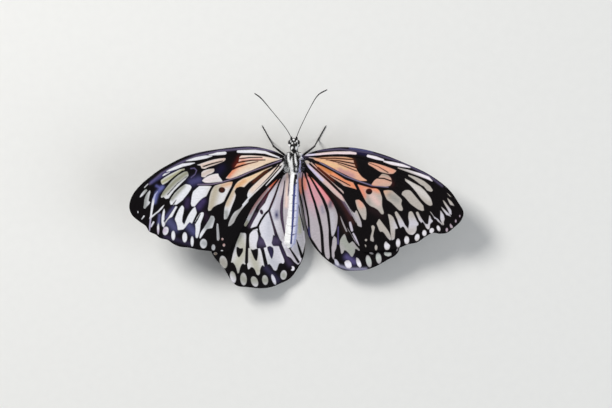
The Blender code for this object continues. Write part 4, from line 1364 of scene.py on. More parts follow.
@dataclass
class Wing:
    """One wing: a thin membrane with raised veins, hung on the thorax, with its painted scales."""

    name: str
    side: Side
    hind: bool
    root: tuple[float, float]
    margin: dict[str, Points]
    veins: dict[str, Points]
    corners: tuple[tuple[float, float], tuple[float, float]]
    markings: Markings
    pale: Colour
    pale_washes: Sequence[Wash]
    dark_washes: Sequence[Wash]
    columns: int = 250
    rows: int = 150
    hinge_reach: float = 3.05
    membrane: float = 0.20
    ridge: float = 0.62
    ridge_at_margin: float = 0.42
    ridge_half_width: float = 0.42 * 0.75
    ridge_thins: tuple[float, float] = (15.0, 50.0)
    root_thickens: float = 3.0
    span: float = 62.4
    dihedral: dict[Side, float] = field(default_factory=lambda: {Side.LEFT: 15.5, Side.RIGHT: 8.0})
    length_scale: dict[Side, float] = field(default_factory=lambda: {Side.LEFT: 0.995, Side.RIGHT: 1.004})
    droop: float = 2.5
    camber: float = 0.35
    camber_chord: float = 20.0
    hang: float = 1.7
    hind_lift: float = 1.5
    hind_pivot: tuple[float, float] = (0.0, -2.4)
    hind_swing: dict[Side, float] = field(default_factory=lambda: {Side.LEFT: 0.0, Side.RIGHT: 24.5})
    swing_ease: float = 7.0
    swing_lag: float = 0.145
    lag_across: tuple[float, float] = (-4.5, 3.0)
    lag_reach: tuple[float, float] = (24.0, 36.0)
    abdominal_dip: float = 2.1
    dip_reach: tuple[float, float] = (1.0, 8.5)
    dip_start: tuple[float, float] = (3.0, 6.5)
    billow: float = 0.22
    billow_reach: float = 1.6
    billow_starts: tuple[float, float] = (2.0, 12.0)

    def plan_edges(self) -> tuple[np.ndarray, np.ndarray, np.ndarray]:
        """The leading, hind and outer edges of the flat wing.

        Returns:
            Points of the leading edge from the root, of the hind edge from the root, and of the outer edge from the
            front corner to the hind one.
        """
        rear, front = self.root
        stretches = [point for stretch in self.margin.values() for point in stretch]
        edge = smooth_line([(0.0, front), *stretches, (0.0, rear)], 0.1)
        first, second = (int(np.argmin(np.hypot(*(edge - np.array(corner)).T))) for corner in self.corners)
        return edge[: first + 1], edge[second:][::-1], edge[first : second + 1]

    def flat(self, u: np.ndarray, v: np.ndarray) -> np.ndarray:
        """Flat places of the wing by share out from the root and share back from the leading edge.

        Args:
            u: Shares out from the root.
            v: Shares back from the leading edge.

        Returns:
            Flat places in mm, one a row.
        """
        leading, hind, outer = self.plan_edges()
        rear, front = self.root
        u1, v1 = u[:, None], v[:, None]
        root = (1 - v1) * np.array([0.0, front]) + v1 * np.array([0.0, rear])
        between = (1 - v1) * at_shares(leading, u) + v1 * at_shares(hind, u)
        across = (1 - u1) * root + u1 * at_shares(outer, v)
        corners = (1 - u1) * root + u1 * ((1 - v1) * leading[-1] + v1 * hind[-1])
        return between + across - corners

    def hung(self, flat: np.ndarray, lift: np.ndarray) -> np.ndarray:
        """Places of flat points once the wing is hung on the thorax.

        Args:
            flat: Flat places in mm, one a row.
            lift: Extra height of each place in mm.

        Returns:
            Places in mm of the body's frame, one a row.
        """
        out, ahead = flat[:, 0], flat[:, 1]
        dip = np.zeros(len(flat))
        if self.hind:
            arm = flat - np.array(self.hind_pivot)
            reach = np.linalg.norm(arm, axis=1)
            lag = self.swing_lag * (1.0 - smoothstep(*self.lag_across, out))
            lag = lag * (1.0 - smoothstep(*self.lag_reach, reach))
            swing = np.radians(self.hind_swing[self.side]) * smoothstep(0.0, self.swing_ease, reach) * (1.0 - lag)
            out = arm[:, 0] * np.cos(swing) - arm[:, 1] * np.sin(swing) + self.hind_pivot[0]
            ahead = arm[:, 0] * np.sin(swing) + arm[:, 1] * np.cos(swing) + self.hind_pivot[1]
            near_body = 1.0 - smoothstep(*self.dip_reach, out)
            dip = self.hind_lift + self.abdominal_dip * near_body * smoothstep(*self.dip_start, -ahead)
        run = np.maximum(out, 0.0) * self.length_scale[self.side]
        angle = np.radians(self.dihedral[self.side] - self.droop * run / self.span)
        across = self.hinge_reach + np.minimum(out, 0.0) + run * np.cos(angle)
        height = self.hang + run * np.sin(angle) - self.camber * (ahead / self.camber_chord) ** 2 - dip + lift
        return np.stack([across * self.side.value, ahead, height], axis=1)

    def build(self, material: bpy.types.Material) -> bpy.types.Object:
        """Makes the wing.

        Args:
            material: The scaled finish.

        Returns:
            The finished piece.
        """
        deselect()
        bpy.ops.mesh.primitive_grid_add(x_subdivisions=self.columns, y_subdivisions=self.rows, size=2.0)
        piece = bpy.context.active_object
        piece.name = self.name + "_scaled"
        start = coordinates(piece)
        flat = self.flat((start[:, 0] + 1.0) / 2.0, (start[:, 1] + 1.0) / 2.0)
        vein_gap = np.full(len(flat), FAR)
        for line in self.veins.values():
            path = np.pad(smooth_line(line, 0.5), ((0, 0), (0, 1)))
            vein_gap = np.minimum(vein_gap, -stroke_depth(flat, path))
        from_root = np.linalg.norm(flat, axis=1)
        high = self.ridge_at_margin + (self.ridge - self.ridge_at_margin) * (
            1.0 - smoothstep(*self.ridge_thins, from_root)
        )
        crest = np.exp(-((vein_gap / self.ridge_half_width) ** 2))
        depth = self.membrane + (high - self.membrane) * crest
        depth = depth + (self.ridge - depth) * (1.0 - smoothstep(0.0, self.root_thickens, from_root))
        lift = self.billow * (1.0 - np.exp(-vein_gap / self.billow_reach)) * smoothstep(*self.billow_starts, from_root)
        body = self.hung(flat, lift)
        move_points(piece, to_floor(body))
        chart = on_chart(body)
        # The tints carry painted light as well as the wing's colours: pale scales whiter or greyer by side, violet
        # sheen and vein highlights on the black, brighter washes against the abdomen's shadow.
        pale = washed(self.pale, self.pale_washes, chart)
        dark = washed(BLACK, self.dark_washes, chart)
        paint(piece, self.markings.ink(chart), np.pad(flat, ((0, 0), (0, 1))), pale, dark)
        group = piece.vertex_groups.new(name="thickness")
        for index, share in enumerate(depth / self.ridge):
            group.add([index], float(share), "REPLACE")
        shell = piece.modifiers.new("shell", "SOLIDIFY")
        shell.thickness = self.ridge * MM
        shell.offset = 0.0
        shell.vertex_group = group.name
        shell.thickness_vertex_group = 0.0
        apply_modifiers(piece)
        smooth(piece, 70.0)
        return finished(piece, material, [self.name])


FOREWING_REAR_EDGE = {"tornus": ((23.2, -34.2), (20.1, -29.4)), "dorsum": ((16.6, -23.6), (13, -16.8), (6, -7.4))}
FOREWING_MARGIN = {
    Side.LEFT: {
        "costa": ((5.5, 4.4), (14.4, 6), (26.4, 5), (38.3, 2.7), (48.2, -1.9), (54.1, -5.9), (58.1, -9.4)),
        "apex": ((60.8, -12.9), (62, -16.9), (61, -20.3)),
        "termen": ((58.2, -22.8), (55.6, -24.6), (54.1, -26.8), (51.7, -27.9), (49.8, -29.3), (47, -30), (44.6, -31.6),
            (41.9, -32.6), (38.3, -33), (34.3, -33.8), (27.6, -34.4)),
        **FOREWING_REAR_EDGE,
    },
    Side.RIGHT: {
        "costa": ((5.4, 4.3), (14.7, 5.7), (23.2, 5), (32.1, 2.6), (39.8, -0.5), (47.5, -4), (53.2, -7.7),
            (57.1, -11.2)),
        "apex": ((59.9, -15.2), (62.1, -19.2), (61.3, -22.4)),
        "termen": ((59, -24.8), (55.9, -27.2), (53.2, -27.6), (50.5, -27.3), (47.8, -28.6), (44.4, -30.9),
            (40.9, -31.7), (37.5, -33), (33.2, -33.8), (27.1, -34.4)),
        **FOREWING_REAR_EDGE,
    },
}
FOREWING_VEINS = {
    "subcosta": ((0.5, 1.4), (13, 4.6), (26, 3.2), (36, 1.5)),
    "radius": ((0.5, 0.9), (11, 3.2), (21, 2.1), (30.3, -0.6), (36.3, -3.4)),
    "radius_1": ((21, 2.1), (30, 1.4), (42, -0.6)),
    "radius_2": ((30.3, -0.6), (40, -1.8), (48.5, -4.1)),
    "radius_5": ((36.3, -3.4), (49.7, -8), (57.4, -13.9), (61.3, -19.9)),
    "radius_4": ((49.7, -8), (55.5, -10), (60, -14)),
    "media_1": ((36.6, -4.3), (47, -9.9), (53.2, -17.3), (58.8, -24.9)),
    "media_2": ((36.3, -6.9), (41.9, -10.2), (47.4, -16.6), (54.4, -27.2)),
    "media_3": ((34.9, -9.9), (39.6, -13.9), (45, -22.7), (48.7, -28)),
    "cell_end": ((36.3, -3.4), (36.3, -6.9), (34.9, -9.9)),
    "cubitus": ((0.5, 0.2), (10.9, -2), (20.2, -7.2), (30.3, -9.7), (34.9, -9.9)),
    "cubitus_1": ((30.3, -9.7), (31.8, -14.6), (37.7, -25), (42, -31)),
    "cubitus_2": ((20.2, -7.2), (23.7, -14.2), (29.5, -26.6), (34, -33.4)),
    "anal": ((0.5, -0.6), (6.2, -5.5), (15, -15.6), (22, -27), (25.8, -33.8)),
}
HINDWING_MARGIN = {
    "costa": ((3.4, -1.7), (9.6, -4.6), (17, -10.4), (23.2, -18.4), (27.8, -27)),
    "apex": ((29.9, -33), (28.6, -36.6)),
    "termen": ((24.6, -41.2), (22.4, -44.8), (19.6, -47.6), (15, -48.2), (10.4, -48.6), (6.2, -48.2), (2.6, -46.9)),
    "tornus": ((-1.4, -44.9), (-4.2, -41.4)),
    "dorsum": ((-6.6, -36.8), (-7.4, -31.6), (-6.8, -25.6), (-5.5, -17.7), (-4.4, -11), (-2.5, -6.4)),
}
HINDWING_VEINS = {
    "subcosta": ((0.5, -1.8), (9, -6.2), (19, -15.4), (27.2, -28.6)),
    "radius": ((0.5, -2.2), (6.5, -7), (13.5, -15.5), (18.5, -23)),
    "sector": ((13.5, -15.5), (22.5, -24), (28.8, -34.4)),
    "media_1": ((18.5, -23), (23, -31), (25.6, -39.4)),
    "media_2": ((18.5, -23), (21.2, -32), (22.7, -43.8)),
    "media_3": ((15.2, -25.7), (15.7, -35), (15, -47.6)),
    "cell_end": ((18.5, -23), (15.2, -25.7), (11.2, -25)),
    "cubitus": ((0.5, -2.7), (2.6, -7), (5.6, -15.8), (11.2, -25)),
    "cubitus_1": ((11.2, -25), (9.2, -34), (6.4, -47.6)),
    "cubitus_2": ((6.6, -18), (4.6, -27), (-1.2, -44.3)),
    "anal_2": ((0.4, -3), (1.6, -15.6), (0.4, -27), (-4.6, -40.2)),
    "anal_3": ((-0.2, -4.2), (-3.6, -12.4), (-5.9, -24), (-6.9, -31)),
}


def wings(side: Side) -> list[Wing]:
    """The forewing and hindwing of one side."""
    return [
        Wing(
            f"forewing_{side.word}", side, False, (-1.4, 1.9), FOREWING_MARGIN[side], FOREWING_VEINS,
            ((62.4, -19.2), (23.2, -34.2)), FOREWING_MARKINGS[side], FOREWING_PALE[side], FOREWING_PALE_WASHES[side],
            FOREWING_DARK_WASHES[side],
        ),
        Wing(
            f"hindwing_{side.word}", side, True, (-3.4, -1.4), HINDWING_MARGIN, HINDWING_VEINS,
            ((29.9, -33.0), (-1.4, -44.9)), HINDWING_MARKINGS[side], HINDWING_PALE[side], HINDWING_PALE_WASHES[side],
            HINDWING_DARK_WASHES[side], columns=200,
        ),
    ]


# ---------------------------------------------------------------- trunk


@dataclass
class Trunk:
    """Head, thorax and abdomen as one skin, with its markings and its coat."""

    # Distance ahead, middle across, middle height, half-width, rise above the middle and fall below it, in mm.
    stations: Points = (
        (9.2, 0.0, -0.1, 0.9, 0.9, 0.9), (8.4, 0.0, -0.1, 1.35, 1.55, 1.6), (7.2, 0.0, -0.1, 1.5, 1.95, 1.95),
        (6.0, 0.0, -0.1, 1.5, 1.95, 1.85), (4.9, 0.0, -0.1, 1.45, 1.6, 1.5), (4.1, 0.0, -0.1, 1.3, 1.25, 1.2),
        (3.6, 0.0, 0.0, 1.5, 1.5, 1.4), (3.1, 0.0, 0.0, 2.0, 2.1, 2.0), (2.0, 0.0, 0.0, 2.4, 2.6, 2.6),
        (0.5, 0.0, 0.0, 2.6, 2.9, 2.9), (-1.2, 0.0, 0.0, 2.5, 2.8, 2.8), (-2.6, 0.0, 0.0, 2.1, 2.2, 2.0),
        (-3.5, 0.05, 0.1, 1.6, 1.6, 1.4), (-4.4, 0.1, 0.3, 1.35, 1.35, 1.25), (-6.0, 0.05, 0.65, 1.5, 1.5, 1.5),
        (-8.0, 0.0, 1.0, 1.65, 1.6, 1.6), (-12.0, -0.05, 1.35, 1.78, 1.75, 1.75),
        (-16.0, -0.1, 1.6, 1.88, 1.85, 1.85), (-20.0, -0.4, 1.78, 2.0, 2.0, 2.0), (-23.0, -0.7, 1.9, 2.15, 2.15, 2.15),
        (-27.0, -1.1, 1.95, 2.3, 2.3, 2.25), (-30.0, -1.5, 1.9, 2.25, 2.2, 2.2), (-31.4, -1.62, 1.87, 2.0, 1.95, 1.95),
        (-32.2, -1.68, 1.85, 1.3, 1.3, 1.3), (-33.4, -1.7, 1.8, 0.65, 0.65, 0.65),
    )
    # Centre and half-axes in mm of the lobes taken into the skin, on each side (here the right) and in the middle.
    side_lobes: dict[str, Points] = field(
        default_factory=lambda: {
            "shoulder": ((1.95, 0.4, 1.75), (1.3, 2.6, 0.85)),
            "rear_shoulder": ((1.85, -2.3, 0.3), (1.3, 1.5, 0.75)),
            "tegula": ((1.75, 2.75, 2.0), (0.95, 1.05, 0.7)),
            "feeler_socket": ((0.78, 8.6, 0.55), (0.42, 0.42, 0.45)),
            "brow": ((0.95, 7.45, 0.75), (0.72, 1.15, 0.85)),
            "cheek": ((1.4, 6.4, 0.25), (0.76, 0.62, 1.05)),
        }
    )
    middle_lobes: dict[str, Points] = field(
        default_factory=lambda: {
            "scutellum": ((0.0, -2.35, 1.55), (1.15, 0.9, 0.85)),
            "neck": ((0.0, 3.6, 0.9), (1.35, 0.65, 0.95)),
        }
    )
    # Top and end of each hip on the right, in mm.
    hips: dict[str, Points] = field(
        default_factory=lambda: {
            "fore": ((0.6, 2.5, -1.0), (1.1, 4.4, -3.3)),
            "middle": ((0.8, 0.6, -1.4), (1.7, 1.2, -4.3)),
            "hind": ((0.7, -1.4, -1.2), (1.5, -2.2, -4.3)),
        }
    )
    nose: float = 9.25
    tail: float = -33.5
    end_reach: float = 0.9
    end_ease: float = 0.05
    ring_spacing: float = 3.2
    ring_start: float = -4.6
    ring_depth: float = 0.07
    pale_from: float = -3.9
    voxel: float = 0.13
    segments: int = 72
    rings: int = 260

    def section(self, ahead: np.ndarray) -> np.ndarray:
        """The section at distances ahead of mid-thorax: middle across and height, half-width, rise and fall."""
        table = smooth_line(self.stations, 0.1)
        return np.stack([np.interp(-ahead, -table[:, 0], table[:, axis]) for axis in range(1, 6)], axis=1)

    def trunk(self) -> bpy.types.Object:
        """The long form of head, thorax and abdomen, in mm of the body's frame."""
        piece = ball(self.segments, self.rings)
        share, around = poled(piece, self.end_ease)
        ahead = self.nose + (self.tail - self.nose) * share
        across, height, width, rise, fall = self.section(ahead).T
        cap = domed(np.minimum(self.nose - ahead, ahead - self.tail), self.end_reach)
        groove = np.clip(np.cos((ahead - self.ring_start) / self.ring_spacing * math.tau), 0.0, 1.0) ** 6
        cap = cap * (1.0 - self.ring_depth * groove * (ahead < self.ring_start + 0.5))
        up = np.where(np.sin(around) > 0.0, rise, fall)
        moved = np.stack([across + width * np.cos(around) * cap, ahead, height + up * np.sin(around) * cap], axis=1)
        move_points(piece, moved)
        return piece

    def lobe(self, centre: Sequence[float], axes: Sequence[float], flip: float = 1.0) -> bpy.types.Object:
        """A rounded lobe of the body, to be taken into the skin.

        Args:
            centre: Its middle in mm, on the right or in the middle of the body.
            axes: Its half-axes in mm.
            flip: Minus one to set it on the left.

        Returns:
            The lobe in mm.
        """
        piece = ball(32, 20)
        move_points(piece, coordinates(piece) * np.array(axes) + np.array(centre) * np.array([flip, 1.0, 1.0]))
        return piece

    def skin(self) -> bpy.types.Object:
        """The whole skin in mm, its lobes and hips taken in."""
        forms = [self.trunk()]
        for side in Side:
            forms += [self.lobe(centre, axes, side.value) for centre, axes in self.side_lobes.values()]
            for ends in self.hips.values():
                path = resampled(np.array(ends) * np.array([side.value, 1.0, 1.0]), 0.2)
                forms.append(rod("coxa", path, lambda distance: 0.78 - 0.09 * distance, 24, 24))
        forms += [self.lobe(centre, axes) for centre, axes in self.middle_lobes.values()]
        piece = joined(forms, "body_skin")
        only(piece)
        remesh = piece.modifiers.new("skin", "REMESH")
        remesh.mode = "VOXEL"
        remesh.voxel_size = self.voxel
        soften = piece.modifiers.new("soften", "SMOOTH")
        soften.factor = 0.5
        soften.iterations = 5
        apply_modifiers(piece)
        return piece

    def ink(self, body: np.ndarray) -> np.ndarray:
        """Depth of each place of the skin inside its dark markings, in mm.

        Args:
            body: Places in mm of the body's frame, one a row.

        Returns:
            The depth, below zero on the pale marks.
        """
        across, ahead, height = body.T
        top = height > self.section(ahead)[:, 1]
        chart = on_chart(body)
        ink = np.clip((ahead - self.pale_from) * 3.0, -MOST_INK, MOST_INK)
        for stroke in [*(dot[None] for dot in drawn(BODY_DOTS)), *map(drawn, BODY_BANDS.values())]:
            depth = stroke_depth(chart, stroke) * CHART_SQUARE
            ink = np.where(top, np.minimum(ink, -depth), ink)
        for stroke in map(drawn, BODY_LINES.values()):
            depth = stroke_depth(chart, stroke) * CHART_SQUARE
            ink = np.where(top, np.maximum(ink, depth), ink)
        mirrored = np.stack([np.abs(across), ahead, height], axis=1)
        for spot in drawn(BODY_SIDE_SPOTS):
            ink = np.minimum(ink, -stroke_depth(mirrored, spot[None]))
        return np.clip(np.maximum(ink, stroke_depth(body, drawn(TAIL_TIP))), -MOST_INK, MOST_INK)

    def tints(self, body: np.ndarray) -> tuple[np.ndarray, np.ndarray]:
        """The pale and dark tints of the skin, with painted shade on the right: there the pale marks turn lilac on the
        thorax and blue on the abdomen, deepest on the flank.

        Args:
            body: Places in mm of the body's frame, one a row.

        Returns:
            The pale and the dark tint of each place.
        """
        across, ahead, _ = body.T
        section = self.section(ahead)
        share = (across - section[:, 0]) / section[:, 2]

        def back(start: float, end: float) -> np.ndarray:
            """Rises from 0 to 1 between two distances behind mid-thorax."""
            return smoothstep(start, end, -ahead)[:, None]

        # Painted shade: right of the middle the pale marks turn lilac on the thorax and blue on the abdomen, deepest
        # on the flank.
        shaded_flank = smoothstep(0.40, 0.85, share)[:, None]
        front = blend(tone(WHITE), tone(SHADE_LILAC), shaded_flank * back(-1.9, -1.2))
        behind = blend(tone(WHITE), tone(RIGHT_SHADE_BLUE), smoothstep(0.0, 0.25, share)[:, None])
        behind = blend(behind, tone(FLANK_SHADE_BLUE), shaded_flank)
        pale = blend(front, behind, back(5.5, 9.0))
        dark = blend(tone(BLACK), tone(LINE_BLUE), back(7.4, 10.4))
        return pale, blend(dark, tone(TAIL_OLIVE), back(31.8, 32.4))

    def build(self, scales: bpy.types.Material, coat: bpy.types.Material) -> list[bpy.types.Object]:
        """Makes the skin and its coat.

        Args:
            scales: The finish of the skin.
            coat: The finish of the hairs.

        Returns:
            The finished pieces.
        """
        piece = self.skin()
        body = coordinates(piece)
        move_points(piece, to_floor(body))
        paint(piece, self.ink(body), body, *self.tints(body))
        smooth(piece, 80.0)
        finished(piece, scales, ["head", "thorax", "abdomen"])
        hairs = Hairs(self, body, piece)
        return [piece, *(hairs.coat(pelt, coat) for pelt in PELTS)]


# Painted shade: the pale blue right of the abdomen's middle and the deeper blue of its right flank, as if the light
# fell from the left.
RIGHT_SHADE_BLUE = (0.93, 0.93, 1.0)
FLANK_SHADE_BLUE = (0.77, 0.79, 0.93)
LINE_BLUE = (0.25, 0.275, 0.49)
TAIL_OLIVE = (0.16, 0.15, 0.09)

# Pale marks seen from above, then the dark ones, on the marking chart.
BODY_DOTS = (
    "293.6,139.5,1.05 290.5,141.1,1 296.9,141.1,0.95 292.2,142.9,0.95 295,142.4,0.6 298.3,143.6,1.05 298,145.5,0.75 "
    "300.9,153.3,1.7 302.2,157,1.8 286.4,155.3,0.7 287.6,167,0.8"
)
BODY_BANDS = {
    "cheek_left": "289.4,144.4,1 289.2,145.8,1.1",
    "neck_left": "291.6,148.3,1 292.2,147.3,1.1",
    "neck_right": "296.3,148.2,1.15 296.6,147.3,1.35",
    "collar_left": "289.7,150.2,0.7 291,151.2,0.5 292.8,152.8,0.5",
    "collar_right": "297,151.8,0.3 298.3,153.4,0.4",
    "left_white": "288.6,153.6,1 288.3,156,1.2 288.6,159,1.2 290.4,162.5,1.9 291.3,167,2 291.5,171,1.9 291.9,175,1.9",
    "left_inner": "292.2,156,0.2 291.6,159.5,0.8 291.8,163,1.1",
    "middle": "294.9,153.4,0.6 295.1,157,0.8 295.8,160.5,0.95 296.3,163.6,0.8",
    "rear_dot": "296.1,167,0.9 296.6,169.2,1",
    "left_streak": "288.6,168.6,0.5 287,171,0.6 285.6,173,0.4",
    "right_lilac": "299.8,157.6,0.3 300.5,160.5,0.8 300.3,164,0.8 300,168,1 300,171,1.5 299.6,174,1.8",
}
BODY_LINES = {
    "back_line": "295.7,174,0.9 294.9,180,1 294.5,186,1.15 294.2,193,1.1 293.6,201,1.15 293.2,212,1.1 292.7,222,0.95 "
        "292,231,0.8 291.4,239,0.8 291,243,0.9",
    "front_spot": "295.8,175.6,1.4 295.9,178.2,1.3",
    "second_spot": "294.4,183.1,0.7 296.2,183.1,0.6",
    "third_spot": "292.4,195.2,0.5 295.8,195.6,0.5",
    "ring_4": "290.5,203.6,-0.2 293.6,203.8,0.3 297,203.4,0.1",
    "ring_5": "289.5,210.6,-0.2 293.2,211,0.3 296.8,210.6,0.1",
    "ring_6": "286.9,217.4,-0.1 289.6,217.9,-0.1 293.2,218,0.35 296.5,217.4,0.1",
    "ring_7": "286.8,225.2,-0.1 289.8,226,-0.05 293,226.2,0.55 296.5,225.4,0.1",
    "ring_8": "286,233.2,-0.1 289.2,234.3,-0.05 292.6,234.6,0.55 296,233.6,0.1",
}
# Dark end of the abdomen and pale spots of both sides, as x,y,z,radius in mm of the body's frame.
TAIL_TIP = "-1.5,-32.6,2.1,0.5 -1.5,-33.4,1.8,0.7"
BODY_SIDE_SPOTS = (
    "2.3,2.2,-0.6,0.45 2.55,0.4,-0.6,0.5 2.3,-1.2,-1.2,0.45 1.9,1.6,-2,0.4 1.3,6.2,-1.5,0.35 1.2,4.8,0.9,0.3 "
    "1.8,3.2,-1,0.35 1.6,-0.6,-2.4,0.4"
)


@dataclass(frozen=True)
class Pelt:
    """One stretch of the coat: where it lies along the body and what its hairs are like, in mm."""

    name: str
    rear: float
    front: float
    count: int
    length: float
    width: float
    lift: float
    shoulders: bool = False
    flow: tuple[float, float, float] = (0.0, -1.0, 0.0)


PELTS = (
    Pelt("head_coat", 4.0, 99.0, 7600, 0.36, 0.022, 0.26),
    Pelt("thorax_coat", -4.2, 4.0, 11800, 0.92, 0.032, 0.22),
    Pelt("abdomen_coat", -99.0, -4.2, 9500, 0.42, 0.026, 0.12),
    Pelt("shoulder_coat", -4.6, 3.2, 1700, 1.7, 0.028, 0.16, shoulders=True),
)
# Pale hairs of the wing roots: light grey on the left, and on the right a darker lilac that is painted shade.
SHOULDER_SHADE_LILAC = (0.80, 0.79, 0.93)
SHOULDER_GREY = (0.88, 0.88, 0.89)
PALP_PELT = Pelt("palp_coat", -99.0, 99.0, 1100, 0.30, 0.020, 0.30, flow=(0.0, 0.35, 0.9))
# Where the long hairs on the wing roots are pale, on the marking chart.
SHOULDER_TUFTS = (
    "285.6,153.6,1.3 284.8,157,1", "286.4,164.6,0.9 287,168,0.9", "288.2,169,0.8 285,173,0.8",
    "300.6,153.4,1.2 303,153.4,1.4 308,154.4,1.6", "301.6,156,1 302.6,158.4,1.2", "306.5,161,1.2 307.5,165,1",
)


@dataclass
class Hairs:
    """Short hairs lying back over the body, finer ones on abdomen and palps, long ones on the wing roots."""

    trunk: Trunk
    body: np.ndarray
    skin: bpy.types.Object
    seed: int = 7
    scatter: float = 0.26
    root_depth: float = 0.02
    tuft_patch: float = 0.003
    # The long hairs grow outside and above these places, and sparsely ahead of the last one on the right.
    shoulder_out: float = 2.3
    shoulder_up: float = 0.5
    sparse_ahead: float = 0.9
    shoulder_flow: tuple[float, float] = (-0.55, 0.12)
    # The unwrap of the body runs over this stretch.
    rear_end: float = -34.0
    reach: float = 44.0

    def roots(self, pelt: Pelt, rng: np.random.Generator) -> tuple[np.ndarray, np.ndarray]:
        """Places and normals of a pelt's hairs, evenly by area over the skin.

        Args:
            pelt: The stretch of the coat.
            rng: The source of chance.

        Returns:
            The places and the normals, in mm of the body's frame.
        """
        mesh = self.skin.data
        mesh.calc_loop_triangles()
        corners = np.empty(len(mesh.loop_triangles) * 3, np.int32)
        mesh.loop_triangles.foreach_get("vertices", corners)
        triangles = self.body[corners.reshape(-1, 3)]
        cross = np.cross(triangles[:, 1] - triangles[:, 0], triangles[:, 2] - triangles[:, 0])
        area = np.linalg.norm(cross, axis=1)
        middle = triangles.mean(axis=1)
        weight = area * (middle[:, 1] > pelt.rear) * (middle[:, 1] <= pelt.front)
        if pelt.shoulders:
            weight = weight * (np.abs(middle[:, 0]) > self.shoulder_out) * (middle[:, 2] > self.shoulder_up)
            weight = weight * np.where((middle[:, 0] > 0.0) & (middle[:, 1] > self.sparse_ahead), 0.15, 1.0)
        chosen = rng.choice(len(area), size=pelt.count, p=weight / weight.sum())
        first, second = rng.random((2, len(chosen), 1))
        fold = first + second > 1.0
        first, second = np.where(fold, 1.0 - first, first), np.where(fold, 1.0 - second, second)
        base = triangles[chosen]
        place = base[:, 0] + first * (base[:, 1] - base[:, 0]) + second * (base[:, 2] - base[:, 0])
        return place, cross[chosen] / np.maximum(area[chosen], TINY)[:, None]

    def colours(self, pelt: Pelt, roots: np.ndarray, rng: np.random.Generator) -> np.ndarray:
        """The colour of each hair, from the skin's markings at its root.

        Args:
            pelt: The stretch of the coat.
            roots: Roots of the hairs in mm of the body's frame.
            rng: The source of chance.

        Returns:
            One colour a row.
        """
        count = len(roots)
        # The pale tint brings along the painted shade of the right flank.
        pale, dark = self.trunk.tints(roots)
        share = smoothstep(-0.08, 0.08, self.trunk.ink(roots))[:, None]
        if pelt.shoulders:
            right = roots[:, 0] > 0.0
            # Painted shade: the right shoulder's pale hairs take the darker lilac.
            pale = np.where(right[:, None], linear(SHOULDER_SHADE_LILAC), linear(SHOULDER_GREY))
            chart = on_chart(roots)
            tuft = np.max([stroke_depth(chart, drawn(line)) for line in SHOULDER_TUFTS], axis=0)
            chance = np.where(tuft > 0.0, 0.06, np.where(right, 0.96, 0.85))
            share = (rng.random(count) < chance).astype(float)[:, None]
        light = blend(rng.uniform(0.9, 1.15, (count, 1)), rng.uniform(0.8, 1.5, (count, 1)), share)
        return blend(pale, dark, share) * light

    def coat(self, pelt: Pelt, material: bpy.types.Material) -> bpy.types.Object:
        """Makes one stretch of the coat as a solid mesh of small curved hairs.

        Args:
            pelt: The stretch of the coat.
            material: The finish of the hairs.

        Returns:
            The finished piece.
        """
        rng = np.random.default_rng(self.seed + len(pelt.name))
        roots, normals = self.roots(pelt, rng)
        count = len(roots)
        back = np.tile(np.array(pelt.flow), (count, 1))
        if pelt.shoulders:
            back = np.stack([np.sign(roots[:, 0]), *(np.full(count, part) for part in self.shoulder_flow)], axis=1)
        back = back + rng.normal(0.0, self.scatter, (count, 3))
        back = back - normals * np.einsum("ij,ij->i", back, normals)[:, None] * (0.4 if pelt.shoulders else 1.0)
        back /= np.linalg.norm(back, axis=1, keepdims=True)
        length = pelt.length * rng.uniform(0.65, 1.2, count)
        width = pelt.width * rng.uniform(0.8, 1.2, count)
        lift = pelt.lift * rng.uniform(0.4, 1.4, count)
        side = np.cross(back, normals)
        points = []
        for along, share in ((0.0, 1.0), (0.35, 0.9), (0.7, 0.6)):
            rise = lift * (along - 0.45 * along**2) * length
            centre = roots + back * (along * length)[:, None] + normals * (rise - self.root_depth)[:, None]
            for turn in (0.0, math.tau / 3.0, 2.0 * math.tau / 3.0):
                ring = side * math.cos(turn) + normals * math.sin(turn)
                points.append(centre + ring * (width * share)[:, None])
        points.append(roots + back * length[:, None] + normals * (lift * 0.55 * length)[:, None])
        stacked = np.stack(points, axis=1)
        pairs = ((0, 1), (1, 2), (2, 0))
        quads = [(k + a, k + b, k + 3 + b, k + 3 + a) for k in (0, 3) for a, b in pairs]
        faces = [*quads, (6, 7, 9), (7, 8, 9), (8, 6, 9), (2, 1, 0)]
        each = stacked.shape[1]
        every_face = [tuple(index + each * tuft for index in one) for tuft in range(count) for one in faces]
        mesh = bpy.data.meshes.new(pelt.name)
        mesh.from_pydata(to_floor(stacked.reshape(-1, 3)), [], every_face)
        piece = bpy.data.objects.new(pelt.name, mesh)
        bpy.context.scene.collection.objects.link(piece)
        store(piece, "root_colour", np.repeat(self.colours(pelt, roots, rng), each, axis=0), "FLOAT_COLOR")
        self.unwrap(piece, roots, stacked)
        outward(piece)
        smooth(piece, 80.0)
        return finished(piece, material, [])

    def unwrap(self, piece: bpy.types.Object, roots: np.ndarray, stacked: np.ndarray) -> None:
        """Gives each hair a small patch at its root's place on the unwrap of the skin.

        Args:
            piece: The coat.
            roots: Roots of the hairs in mm of the body's frame.
            stacked: Points of each hair.
        """
        section = self.trunk.section(roots[:, 1])
        turn = np.arctan2(roots[:, 2] - section[:, 1], roots[:, 0] - section[:, 0])
        u = 0.5 + 0.48 * turn / math.pi
        v = 0.02 + 0.96 * (roots[:, 1] - self.rear_end) / self.reach
        each = stacked.shape[1]
        spread = np.linspace(-0.5, 0.5, each) * self.tuft_patch
        sway = np.tile((0.5, -0.5, 0.0), each)[:each] * self.tuft_patch
        flat = np.stack([u[:, None] + sway[None], v[:, None] + spread[None]], axis=2).reshape(-1, 2)
        layer = piece.data.uv_layers.new(name="OFBake")
        corner = np.empty(len(piece.data.loops), np.int32)
        piece.data.loops.foreach_get("vertex_index", corner)
        layer.data.foreach_set("uv", flat[corner].reshape(-1))


# ---------------------------------------------------------------- head fittings and legs


